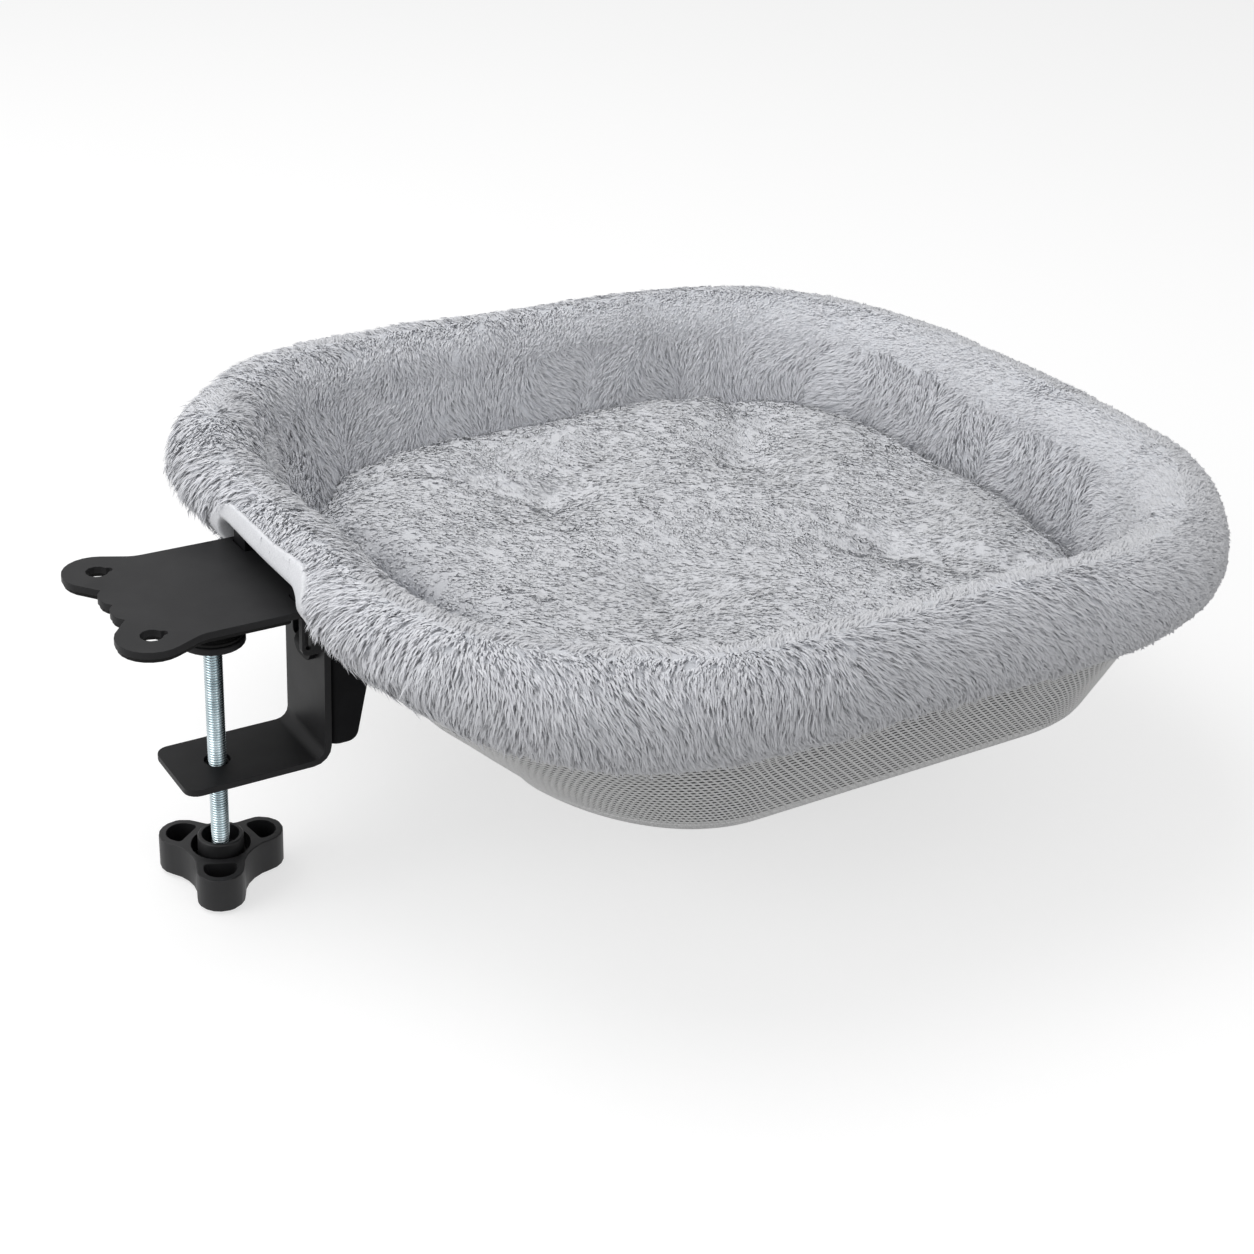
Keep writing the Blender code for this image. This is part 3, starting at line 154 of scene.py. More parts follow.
def powder_coat(name, dark, light, gloss=0.16):
    made, tree, shader = node_material(name, dark, 0.42)
    shader.inputs["Specular IOR Level"].default_value = gloss
    grain = noise(tree, 1400.0, 2.0)
    tree.links.new(ramp(tree, noise(tree, 60.0), dark, light), shader.inputs["Base Color"])
    rough = tree.nodes.new("ShaderNodeMapRange")
    rough.inputs["To Min"].default_value = 0.40
    rough.inputs["To Max"].default_value = 0.56
    tree.links.new(noise(tree, 25.0), rough.inputs["Value"])
    tree.links.new(rough.outputs["Result"], shader.inputs["Roughness"])
    bump(tree, shader, grain, 0.25, 0.00008)
    return made


def plush_material(name, root, tip):
    """Pile: darker at the root as painted shade deep in the pile, paler at the tip, from the strand's
    own shade value.
    """
    made, tree, shader = node_material(name, tip, 0.85, Sheen_Weight=0.35, Sheen_Roughness=0.5)
    shader.inputs["Specular IOR Level"].default_value = 0.25
    shade = tree.nodes.new("ShaderNodeAttribute")
    shade.attribute_name = "shade"
    tree.links.new(ramp(tree, shade.outputs["Fac"], root, tip, 0.0, 1.0),
                   shader.inputs["Base Color"])
    return made


def cloth_material(name, dark, light, scale=900.0):
    made, tree, shader = node_material(name, light, 0.9, Sheen_Weight=0.2)
    grain = noise(tree, scale, 2.0)
    tree.links.new(ramp(tree, grain, dark, light), shader.inputs["Base Color"])
    bump(tree, shader, grain, 0.4, 0.0003)
    return made


def net_material(name, thread, hole, pitch):
    """A fine net: dark holes in staggered rows, worked out from the place on the cloth."""
    made, tree, shader = node_material(name, thread, 0.85, Sheen_Weight=0.15)
    where = tree.nodes.new("ShaderNodeTexCoord")
    turned = tree.nodes.new("ShaderNodeMapping")
    turned.inputs["Rotation"].default_value = (0, 0, math.radians(45))
    turned.inputs["Scale"].default_value = (1 / pitch, 1 / pitch, 0)
    cells = tree.nodes.new("ShaderNodeTexVoronoi")
    cells.inputs["Scale"].default_value = 1.0
    cells.inputs["Randomness"].default_value = 0.12
    tree.links.new(where.outputs["Object"], turned.inputs["Vector"])
    tree.links.new(turned.outputs["Vector"], cells.inputs["Vector"])
    tree.links.new(ramp(tree, cells.outputs["Distance"], hole, thread, 0.26, 0.36),
                   shader.inputs["Base Color"])
    bump(tree, shader, cells.outputs["Distance"], 0.6, 0.0008)
    return made


COAT = powder_coat("black_coat", (0.013, 0.013, 0.014), (0.019, 0.019, 0.020))
BRACKET_COAT = powder_coat("bracket_black", (0.007, 0.007, 0.008), (0.011, 0.011, 0.012), 0.06)
TUBE_COAT = powder_coat("tube_black", (0.022, 0.022, 0.023), (0.032, 0.032, 0.033))
PLASTIC = powder_coat("knob_black", (0.010, 0.010, 0.011), (0.014, 0.014, 0.015), 0.35)
RUBBER = powder_coat("rubber_black", (0.007, 0.007, 0.007), (0.011, 0.011, 0.011), 0.10)
ZINC, zinc_tree, zinc_shader = node_material("zinc_plate", (0.52, 0.60, 0.63), 0.26, 1.0)
zinc_tree.links.new(
    ramp(zinc_tree, noise(zinc_tree, 120.0), (0.42, 0.50, 0.53), (0.62, 0.70, 0.73)),
    zinc_shader.inputs["Base Color"])
PILE = plush_material("plush_pile", (0.67, 0.68, 0.715), (0.82, 0.83, 0.865))
PILE_BASE = cloth_material("plush_backing", (0.60, 0.615, 0.65), (0.68, 0.695, 0.73))
MAT_PILE = plush_material("mat_pile", (0.72, 0.73, 0.755), (0.78, 0.79, 0.82))
MAT_BASE = cloth_material("mat_backing", (0.66, 0.67, 0.70), (0.72, 0.73, 0.76))
TRIM = cloth_material("binding_knit", (0.72, 0.73, 0.76), (0.82, 0.83, 0.86), 1500.0)
WEB = cloth_material("tray_mesh", (0.70, 0.70, 0.70), (0.84, 0.84, 0.84), 1800.0)
WEB_BACK = cloth_material("tray_backing", (0.030, 0.030, 0.032), (0.060, 0.060, 0.064), 700.0)
WEB_FLOOR = net_material("floor_mesh", (0.62, 0.62, 0.62), (0.06, 0.06, 0.062), 0.0033)
FOAM = cloth_material("foam_black", (0.020, 0.020, 0.021), (0.040, 0.040, 0.042), 2500.0)


# Mesh builders
def piece(name, vertices, faces, look, body, smooth=True, attributes=None):
    mesh = bpy.data.meshes.new(name)
    mesh.from_pydata(vertices if isinstance(vertices, list) else vertices.tolist(), [],
                     faces if isinstance(faces, list) else faces.tolist())
    for key, values in (attributes or {}).items():
        layer = mesh.attributes.new(key, "FLOAT", "POINT")
        layer.data.foreach_set("value", np.asarray(values, np.float32))
    if smooth:
        mesh.shade_smooth()
    mesh.materials.append(look)
    made = bpy.data.objects.new(name, mesh)
    bpy.context.scene.collection.objects.link(made)
    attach(made, body)
    return made


def facing_out(made):
    work = bmesh.new()
    work.from_mesh(made.data)
    bmesh.ops.recalc_face_normals(work, faces=work.faces)
    work.to_mesh(made.data)
    work.free()


def grid_faces(rows, columns, wrap_rows=False, wrap_columns=False):
    r = np.arange(rows if wrap_rows else rows - 1)
    c = np.arange(columns if wrap_columns else columns - 1)
    rr, cc = np.meshgrid(r, c, indexing="ij")
    r2, c2 = (rr + 1) % rows, (cc + 1) % columns
    return np.stack([rr * columns + cc, rr * columns + c2, r2 * columns + c2,
                     r2 * columns + cc], -1).reshape(-1, 4)


def softened(node, look, width, segments=2, angle=30):
    """A CAD solid's copy with rounded edges."""
    source = nodes[node]
    mesh = source.data.copy()
    work = bmesh.new()
    work.from_mesh(mesh)
    bmesh.ops.remove_doubles(work, verts=work.verts, dist=0.00001)
    bmesh.ops.dissolve_limit(work, angle_limit=math.radians(1), verts=work.verts,
                             edges=work.edges)
    work.to_mesh(mesh)
    work.free()
    mesh.shade_smooth()
    mesh.materials.clear()
    mesh.materials.append(look)
    made = bpy.data.objects.new(node + "_finish", mesh)
    bpy.context.scene.collection.objects.link(made)
    edge = made.modifiers.new("edge", "BEVEL")
    edge.width = width
    edge.segments = segments
    edge.limit_method = "ANGLE"
    edge.angle_limit = math.radians(angle)
    even = made.modifiers.new("even", "WEIGHTED_NORMAL")
    even.weight = 90
    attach(made, source["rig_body"])
    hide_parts(node)
    return made


def kept(node, look):
    nodes[node].data.materials.clear()
    nodes[node].data.materials.append(look)
    nodes[node].data.shade_smooth()
    nodes[node].data.set_sharp_from_angle(angle=math.radians(35))


# Pile of short tufts
def pile(name, centers, normals, flow, look, seed, length, lean, spread, strands, width, tone,
         close):
    """Tufts of flat tapering fibres at centres with surface normals and lie directions.

    length (metres), lean (degrees), tone (0 dark to 1 pale) and close (0 loose fuzz to
    1 pointed locks) have a value for each tuft.
    """
    draw = np.random.default_rng(seed)
    n = len(centers)
    count = n * strands
    flow = flow - normals * (flow * normals).sum(1, keepdims=True)
    flow /= np.linalg.norm(flow, axis=1, keepdims=True)
    up = np.repeat(normals, strands, 0)
    along = np.repeat(flow, strands, 0)
    across = np.cross(up, along)
    tall = np.repeat(length * draw.uniform(0.75, 1.25, n), strands) \
        * draw.uniform(0.75, 1.15, count)
    rise = np.repeat(np.radians(lean + draw.normal(0, 6, n)), strands) \
        + draw.normal(0, 0.07, count)
    u = draw.normal(0, spread, count)
    v = draw.normal(0, spread * 1.3, count)
    close = np.repeat(close, strands)
    turn = draw.normal(0, 1, count) * (0.24 - 0.16 * close)
    tuck = 0.0005
    root = np.repeat(centers, strands, 0) + across * u[:, None] + along * v[:, None] - up * tuck
    lie = along * np.cos(turn)[:, None] + across * np.sin(turn)[:, None]
    middle = root + lie * (0.42 * tall * np.cos(rise))[:, None] \
        + up * (tuck + 0.62 * tall * np.sin(rise))[:, None] - across * (0.4 * close * u)[:, None]
    tip = root + lie * (tall * np.cos(rise * 0.8))[:, None] \
        + up * (tuck + 0.85 * tall * np.sin(rise * 0.8))[:, None] - across * (0.9 * close * u)[:, None]
    half = (width * draw.uniform(0.7, 1.3, count) / 2)[:, None]
    tilt = draw.normal(0, 0.35, count)[:, None]
    edge = across * np.cos(tilt) + up * np.sin(tilt)
    vertices = np.stack([root - edge * half, root + edge * half, middle + edge * half * 0.9,
                         middle - edge * half * 0.9, tip], 1).reshape(-1, 3)
    first = np.arange(count)[:, None] * 5
    quads = first + np.array([3, 2, 1, 0])
    tips = first + np.array([4, 2, 3])
    shade = np.repeat(np.clip(tone + draw.normal(0, 0.07, n), 0, 1), strands)
    # colour along each fibre: the darker root is painted shade deep in the pile and the tip is paler,
    # on top of each tuft's own random tone
    levels = np.stack([shade * 0.55, shade * 0.55, 0.30 + shade * 0.5, 0.30 + shade * 0.5,
                       0.50 + shade * 0.5], 1).reshape(-1)
    mesh = bpy.data.meshes.new(name)
    mesh.vertices.add(len(vertices))
    mesh.vertices.foreach_set("co", vertices.astype(np.float32).ravel())
    loops = np.concatenate([quads.ravel(), tips.ravel()]).astype(np.int32)
    mesh.loops.add(len(loops))
    mesh.loops.foreach_set("vertex_index", loops)
    mesh.polygons.add(2 * count)
    starts = np.concatenate([np.arange(count) * 4, count * 4 + np.arange(count) * 3])
    mesh.polygons.foreach_set("loop_start", starts.astype(np.int32))
    mesh.update(calc_edges=True)
    layer = mesh.attributes.new("shade", "FLOAT", "POINT")
    layer.data.foreach_set("value", levels.astype(np.float32))
    mesh.shade_smooth()
    # fibres are lit as the cloth under them is, so the pile looks soft
    lit = up + lie * 0.25 + across * draw.normal(0, 0.22, count)[:, None]
    lit /= np.linalg.norm(lit, axis=1, keepdims=True)
    mesh.normals_split_custom_set_from_vertices(np.repeat(lit, 5, 0).tolist())
    mesh.materials.append(look)
    made = bpy.data.objects.new(name, mesh)
    bpy.context.scene.collection.objects.link(made)
    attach(made, "hammock")
    return made


# Padded rim
ROLL_W, ROLL_H = 0.0224, 0.0214
OPEN_HALF, OPEN_CORNER = 0.0402, 0.0055
OPEN_TOP, OPEN_LOW = 0.0092, -0.031
SECTION = (ROLL_W + ROLL_H) / 2
RIM_TUFTS, WALL_TUFTS, MAT_TUFTS = 44000, 10200, 17000
COVER_WALL, LINER_WALL = 0.002, 0.002
EDGE_ANGLE = math.radians(282)
TUBE_RADIUS = 0.0083
FOAM_START, FOAM_INSET = 0.0425, 0.0035
# The cover is drawn back over the plate and drawn up beside the arm
PULL_BACK = 0.0070
PULL_START, PULL_END = 0.040, 0.064
DRAWN_SIDE, DRAWN_LOW, DRAWN_UP = 0.0031, 0.0098, 0.0160
DRAWN_START, DRAWN_END = 0.050, 0.170


def ease(x):
    x = np.clip(x, 0, 1)
    return x * x * (3 - 2 * x)


def roll_at(s, a, grow=0.0):
    """Points on the roll at distance s and section angle a (0 inward, 90 up)."""
    plan, out = ring(s)
    lump = waves(np.stack([plan[:, 0], plan[:, 1], np.sin(a) * 0.03], -1), 0.09, 11) * 0.0008
    by_clamp = plan[:, 0] < TUBE_X + CORNER
    y = np.abs(plan[:, 1])
    over_plate = ease((PULL_END - y) / (PULL_END - PULL_START)) * by_clamp
    beside = ease((DRAWN_END - y) / (DRAWN_END - DRAWN_START)) * by_clamp
    side = ease((a - math.radians(105)) / math.radians(80))
    low = ease((a - math.radians(150)) / math.radians(60))
    under = 1 - ease((a - math.radians(240)) / math.radians(42))
    drawn = under * np.maximum(PULL_BACK * over_plate * side,
                               (DRAWN_SIDE * side + DRAWN_LOW * low) * beside)
    inward = (ROLL_W + lump + grow) * np.cos(a) + drawn
    tall = ROLL_H + lump + grow - DRAWN_UP * beside * ease(-np.sin(a))
    return np.stack([plan[:, 0] - out[:, 0] * inward, plan[:, 1] - out[:, 1] * inward,
                     ROLL_Z + tall * np.sin(a)], -1)


def roll_point(s, a, grow=0.0):
    """Points on the roll with their outward normals."""
    step = 0.0005
    n = np.cross(roll_at(s + step, a, grow) - roll_at(s - step, a, grow),
                 roll_at(s, a + 0.01, grow) - roll_at(s, a - 0.01, grow))
    return roll_at(s, a, grow), -n / np.linalg.norm(n, axis=1, keepdims=True)


def from_lip(s, a):
    """Distance along the cloth from the opening's edge, negative inside the opening."""
    across = np.minimum(np.mod(s, LAP), LAP - np.mod(s, LAP)) - (OPEN_HALF - OPEN_CORNER)
    above = SECTION * (math.pi - a) - (OPEN_TOP - OPEN_CORNER)
    corner = np.hypot(np.maximum(across, 0), np.maximum(above, 0))
    return corner + np.minimum(np.maximum(across, above), 0) - OPEN_CORNER


def lip_width(y, above):
    """The hem's width: narrow down its far leg, wider down its near one."""
    near = ease((-y - 0.010) / 0.03)
    low = ease((0.004 - above) / 0.02)
    return 0.0105 + near * (0.0025 + 0.0030 * low) - 0.0052 * ease((y - 0.030) / 0.012)


def make_rim():
    rows, columns = 320, 58
    s = (np.arange(rows) + 0.5) / rows * LAP
    a = np.linspace(math.radians(-78), EDGE_ANGLE, columns)
    ss, aa = (grid.ravel() for grid in np.meshgrid(s, a, indexing="ij"))
    p = roll_at(ss, aa)
    faces = grid_faces(rows, columns, wrap_rows=True)
    outside = from_lip(ss, aa) > 0.001
    made = piece("rim_backing", p, faces[outside[faces].all(1)], PILE_BASE, "hammock")
    facing_out(made)
    shell = made.modifiers.new("shell", "SOLIDIFY")
    shell.thickness = COVER_WALL
    shell.offset = -1
    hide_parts("rim_cover")


def make_lip():
    """Smooth turned-in hem round the opening over the plate."""
    straight, flat, low = OPEN_TOP - OPEN_CORNER, OPEN_HALF - OPEN_CORNER, OPEN_LOW
    path = [(1, OPEN_HALF, u) for u in np.linspace(low, straight, 16)]
    path += [(1, flat + OPEN_CORNER * math.cos(t), straight + OPEN_CORNER * math.sin(t))
             for t in np.linspace(0, math.pi / 2, 8)[1:]]
    path += [(0, y, OPEN_TOP) for y in np.linspace(flat, -flat, 40)[1:]]
    path += [(-1, -flat - OPEN_CORNER * math.sin(t), straight + OPEN_CORNER * math.cos(t))
             for t in np.linspace(0, math.pi / 2, 8)[1:]]
    path += [(-1, -OPEN_HALF, u) for u in np.linspace(straight, low, 16)[1:]]
    y = np.array([q[1] for q in path])
    u = np.array([q[2] for q in path])
    out_y = np.where(np.abs(y) > flat, (y - np.sign(y) * flat) / OPEN_CORNER, 0)
    out_u = np.where(u > straight, (u - straight) / OPEN_CORNER, 0)
    rings = []
    wide = lip_width(y, u)
    for share, grow in ((0.03, -0.0055), (0.0, -0.003), (0.0, -0.0006), (0.05, 0.0009),
                        (0.15, 0.0016), (0.4, 0.0017), (0.75, 0.0021), (0.92, 0.0026),
                        (1.02, 0.0018), (1.12, -0.0006)):
        at_y, at_u = y + out_y * wide * share, u + out_u * wide * share
        rings.append(roll_at(-at_y, math.pi - at_u / SECTION, grow))
    p = np.stack(rings, 1).reshape(-1, 3)
    made = piece("opening_lip", p, grid_faces(len(path), len(rings)), TRIM, "hammock")
    smooth = made.modifiers.new("round", "SUBSURF")
    smooth.levels = smooth.render_levels = 1
    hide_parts("opening_binding")


def make_foam():
    """The foam sleeve round the tubes, with the same shape as its cover."""
    rows, sides = 260, 28
    s = np.linspace(FOAM_START, LAP - FOAM_START, rows)
    ss, aa = (grid.ravel() for grid in np.meshgrid(s, np.arange(sides) / sides * TAU,
                                                   indexing="ij"))
    outer = roll_at(ss, np.where(aa > math.radians(300), aa - TAU, aa), -FOAM_INSET)
    plan, out = ring(ss)
    bore = plan - out * (TUBE_RADIUS * np.cos(aa))[:, None]
    inner = np.column_stack([bore, TUBE_Z + TUBE_RADIUS * np.sin(aa)])
    faces = grid_faces(rows, sides, wrap_columns=True)
    count = rows * sides
    k = np.arange(sides)
    ends = [np.stack([k + at, (k + 1) % sides + at, (k + 1) % sides + at + count,
                      k + at + count], -1)[:, ::turn]
            for at, turn in ((0, 1), (count - sides, -1))]
    faces = np.concatenate([faces, faces[:, ::-1] + count] + ends)
    made = piece("foam_sleeve", np.concatenate([outer, inner]), faces, FOAM, "hammock")
    facing_out(made)
    made.data.set_sharp_from_angle(angle=math.radians(50))
    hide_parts("rim_core")


def make_rim_pile():
    draw = np.random.default_rng(5)
    s = draw.uniform(0, LAP, RIM_TUFTS)
    a = np.radians(draw.uniform(-8, 300, RIM_TUFTS))
    p, n = roll_point(s, a)
    plan, out = ring(s)
    # the cloth is longer round the outside of a corner than round its inside
    straight = np.abs(out[:, 0] * out[:, 1]) < 1e-6
    size = np.where(straight, 1.0, (CORNER - ROLL_W * np.cos(a)) / CORNER)
    edge = from_lip(s, a) - lip_width(p[:, 1], SECTION * (math.pi - a))
    seam = seam_angle(plan)
    keep = (draw.uniform(size=RIM_TUFTS) < size / 1.18) & (edge > 0.0006) \
        & (a < seam - math.radians(12))
    s, a, p, n, out, edge = s[keep], a[keep], p[keep], n[keep], out[keep], edge[keep]
    tangent = np.stack([-out[:, 1], out[:, 0], np.zeros(len(s))], -1)
    around = np.cross(tangent, n)
    around /= np.linalg.norm(around, axis=1, keepdims=True)
    down = np.where((around[:, 2] > 0)[:, None], -around, around)
    outer = ease((a - math.radians(80)) / math.radians(50))
    fine = ease((p[:, 0] - 0.19) / 0.16)
    swirl = waves(p, 0.040, 21)
    sweep = 0.25 + 0.95 * ease((p[:, 0] - 0.10) / 0.25)
    flow = down * (0.9 + 0.25 * waves(p, 0.16, 22))[:, None] \
        + tangent * (sweep + (0.85 - 0.45 * outer) * swirl)[:, None]
    above_seam = ease((math.radians(234) - a) / math.radians(26))
    length = (0.0046 + 0.0024 * outer) * (1 - 0.34 * fine) * (0.24 + 0.76 * above_seam) \
        * (0.42 + 0.58 * ease(edge / 0.010))
    lean = 16 + 4 * waves(p, 0.03, 23) - 4 * (1 - above_seam) - fine
    tone = 0.55 + 0.14 * waves(p, 0.012, 24) * outer * (1 - 0.6 * fine) + 0.05 * waves(p, 0.05, 25)
    close = (0.30 + 0.45 * outer) * (1 - 0.75 * fine) * above_seam
    order = np.argsort(s)
    for i, pick in enumerate(np.array_split(order, 3)):
        made = pile(f"rim_pile_{i + 1}", p[pick], n[pick], flow[pick], PILE, 31 + i,
                    length[pick], lean[pick], 0.0011, 6, 0.00086, tone[pick], close[pick])


# Tray and inner wall
RUN_X, RUN_Y, SHIFT = 0.047, 0.027, 0.0135
KNEE, DEPTH, INSET, RELIEF = 0.070, 0.0955, 0.001, 0.017
RELIEF_HALF, RELIEF_FADE = 0.022, 0.080
HANG = 0.35
WEB_COLUMNS, WEB_ROWS, WEB_SLANT = 344, 48, 0.45
WEB_START, WEB_SPAN = 0.02, 1.93
BACKING_SET_IN = 0.0022


def relief(plan):
    share = np.clip((RELIEF_HALF + RELIEF_FADE - np.abs(plan[:, 1])) / RELIEF_FADE, 0, 1)
    return np.where(plan[:, 0] > TUBE_X + CORNER, 0.0, share * share * (3 - 2 * share) * RELIEF)


def roll_under(inset):
    return ROLL_Z - 0.023 * np.sqrt(np.clip(1 - (inset / 0.024) ** 2, 0, 1))


def seam_angle(plan):
    """Where the tray is sewn to the roll: low on its outside, drawn under it by the clamp."""
    return np.radians(246 + 54 * relief(plan) / RELIEF)


def wall_point(s, t, extra):
    """Points on the tray's wall: t from 0 at the seam to 1 at the knee."""
    plan, out = ring(s)
    back = relief(plan)
    seam = roll_at(s, seam_angle(plan), -0.0006)
    top = roll_under(INSET + back) - 0.0006
    in_x = INSET + back + RUN_X * t + extra
    in_y = INSET + back + RUN_Y * t + extra
    start = np.stack([plan[:, 0] - out[:, 0] * (INSET + back),
                      plan[:, 1] - out[:, 1] * (INSET + back), top], -1)
    wall = np.stack([plan[:, 0] - out[:, 0] * in_x + SHIFT * t,
                     plan[:, 1] - out[:, 1] * in_y, top + (-KNEE - top) * t], -1)
    return wall + (seam - start) * (np.clip(1 - t / HANG, 0, 1) ** 2)[:, None]


def make_welt():
    """Thin piping where the tray is sewn to the cover."""
    rows, sides = 420, 8
    s, k = np.meshgrid((np.arange(rows) + 0.5) / rows * LAP, np.arange(sides) / sides * TAU,
                       indexing="ij")
    s, k = s.ravel(), k.ravel()
    plan, out = ring(s)
    p, n = roll_point(s, seam_angle(plan), 0.0007)
    tangent = np.stack([-out[:, 1], out[:, 0], np.zeros(len(s))], -1)
    p = p + 0.0013 * (n * np.cos(k)[:, None] + np.cross(tangent, n) * np.sin(k)[:, None])
    made = piece("seam_welt", p, grid_faces(rows, sides, True, True), TRIM, "hammock")
    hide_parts("seam_piping")
    return made


MIDDLE = np.array([TUBE_X + HALF_LENGTH + SHIFT, 0.0])


def bowl_point(s, d, extra):
    """Tray surface by share d: 0..1 the wall, 1..2 the rounded knee and the floor's edge."""
    wall = wall_point(s, np.minimum(d, 1.0), extra)
    over = np.clip(d - 1.0, 0, 1)
    angle = over * math.pi / 2
    scale = 1 - 0.24 * np.sin(angle) ** 1.15
    drop = (DEPTH - KNEE) * np.sin(np.minimum(angle * 1.15, math.pi / 2)) ** 0.9
    p = wall.copy()
    p[:, 0] = MIDDLE[0] + (wall[:, 0] - MIDDLE[0]) * scale
    p[:, 1] = wall[:, 1] * scale
    p[:, 2] = wall[:, 2] - drop + np.where(over > 0, extra, 0)
    return p


def lattice(first, rows, columns):
    """Open mesh in (u, v) cells: four-sided holes with a rim set back by its third value."""
    u0 = np.arange(columns)
    corners = []
    faces = []
    for i in range(rows):
        r = first + i
        cell = [np.stack([u0 + du, np.full(columns, r + dv), np.zeros(columns)], -1)
                for du, dv in ((0.0, 0.0), (1.0, 0.0), (1.0, 1.0), (0.0, 1.0))]
        middle = sum(cell) / 4
        for wide, tall, depth in ((0.40, 0.37, 0.3), (0.36, 0.33, 1.0)):
            for du, dv in ((-1.0, -0.75), (0.75, -1.0), (1.0, 0.75), (-0.75, 1.0)):
                cell.append(middle + np.array([wide * du, tall * dv, depth]))
        corners.append(np.stack(cell, 1).reshape(-1, 3))
        base = (i * columns + u0)[:, None] * 12
        for k in range(4):
            n = (k + 1) % 4
            faces.append(base + np.array((k, n, 4 + n, 4 + k)))
            faces.append(base + np.array((4 + k, 4 + n, 8 + n, 8 + k)))
    return np.concatenate(corners), np.concatenate(faces)


def make_web():
    """Open mesh of the tray, in an upper and a lower half."""
    web = []
    half = WEB_ROWS // 2
    for i in range(2):
        at, faces = lattice(i * half, half, WEB_COLUMNS)
        turn = at[:, 0] / WEB_COLUMNS * TAU
        # the rows lean, and the cloth is gathered a little where it is sewn to the roll
        drift = WEB_SLANT * at[:, 1] + 2.0 * np.sin(turn * 5) * at[:, 1] / WEB_ROWS
        s = (at[:, 0] + drift) / WEB_COLUMNS * LAP
        d = at[:, 1] / WEB_ROWS * WEB_SPAN + WEB_START
        pulled = 0.0012 * np.sin(turn * 26 + 0.35 * at[:, 1]) * np.clip(1 - at[:, 1] / 16, 0, 1)
        p = bowl_point(s, d, 0.0006 * at[:, 2] + pulled)
        web.append(piece(f"tray_web_{i + 1}", p, faces, WEB, "hammock"))
    return web


def make_tray():
    """Closed cloth a little inside the open mesh, with the tray's floor."""
    rows, columns = 160, 40
    s, d = np.meshgrid((np.arange(rows) + 0.5) / rows * LAP, np.linspace(0, 1.97, columns),
                       indexing="ij")
    back = bowl_point(s.ravel(), d.ravel(), BACKING_SET_IN)
    faces = grid_faces(rows, columns, wrap_rows=True).tolist()
    wall_faces = len(faces)
    edge = back.reshape(rows, columns, 3)[:, -1]
    rings = []
    for share in (0.97, 0.9, 0.7, 0.4):
        inner = edge.copy()
        inner[:, :2] = MIDDLE + (edge[:, :2] - MIDDLE) * share
        inner[:, 2] = -DEPTH + (edge[:, 2] + DEPTH) * max(0.0, 1 - (1 - share) * 12)
        rings.append(inner)
    k = np.arange(rows)
    n = (k + 1) % rows
    at = [k * columns + columns - 1] + [len(back) + i * rows + k for i in range(len(rings))]
    for outer, inner in zip(at, at[1:]):
        faces += np.stack([outer[k], outer[n], inner[n], inner[k]], -1).tolist()
    last = len(back) + len(rings) * rows
    faces += [[at[-1][i], at[-1][j], last] for i, j in zip(k, n)]
    p = np.vstack([back] + rings + [[[MIDDLE[0], MIDDLE[1], -DEPTH]]])
    cloth = piece("tray_backing", p, faces, WEB_BACK, "hammock")
    cloth.data.materials.append(WEB_FLOOR)
    for face in cloth.data.polygons[wall_faces:]:
        face.material_index = 1
    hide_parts("mesh_tray")
    return cloth


WALL_HEIGHTS = np.array([-0.060, -0.036, -0.024, -0.012, -0.002, 0.006, 0.014])
WALL_INSETS = np.array([0.0500, 0.0415, 0.0375, 0.0330, 0.0285, 0.0240, 0.0202])


def liner_point(s, d, extra=0.0):
    """Inner wall by share d from the roll's inner side down to below the mat."""
    plan, out = ring(s)
    z = 0.013 - d * 0.073
    inset = sum(np.interp(z + shift, WALL_HEIGHTS, WALL_INSETS) for shift in (-0.004, 0, 0.004)) / 3
    inset += relief(plan) * np.clip((-z - 0.004) / 0.03, 0, 1) + extra
    shift = SHIFT * np.clip(-z / KNEE, 0, 1)
    return np.stack([plan[:, 0] - out[:, 0] * inset + shift, plan[:, 1] - out[:, 1] * inset, z],
                    -1)


def normals_of(point, s, d, step_s=0.0005, step_d=0.004):
    ds = point(s + step_s, d) - point(s - step_s, d)
    dd = point(s, d + step_d) - point(s, d - step_d)
    n = np.cross(ds, dd)
    return n / np.linalg.norm(n, axis=1, keepdims=True)


def make_liner():
    """The bed's padded inner wall, a closed shell that grows away from the bed."""
    rows, columns = 240, 26
    s, d = np.meshgrid((np.arange(rows) + 0.5) / rows * LAP, np.linspace(0, 1, columns),
                       indexing="ij")
    p = liner_point(s.ravel(), d.ravel())
    faces = grid_faces(rows, columns, wrap_rows=True)
    count = len(p)
    k = np.arange(rows) * columns
    n = np.roll(k, -1)
    edges = [np.stack([k + at, n + at, n + at + count, k + at + count], -1)[:, ::turn]
             for at, turn in ((0, -1), (columns - 1, 1))]
    p = np.concatenate([p, liner_point(s.ravel(), d.ravel(), -LINER_WALL)])
    faces = np.concatenate([faces, faces[:, ::-1] + count] + edges)
    made = piece("wall_backing", p, faces, PILE_BASE, "hammock")
    facing_out(made)
    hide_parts("plush_liner")


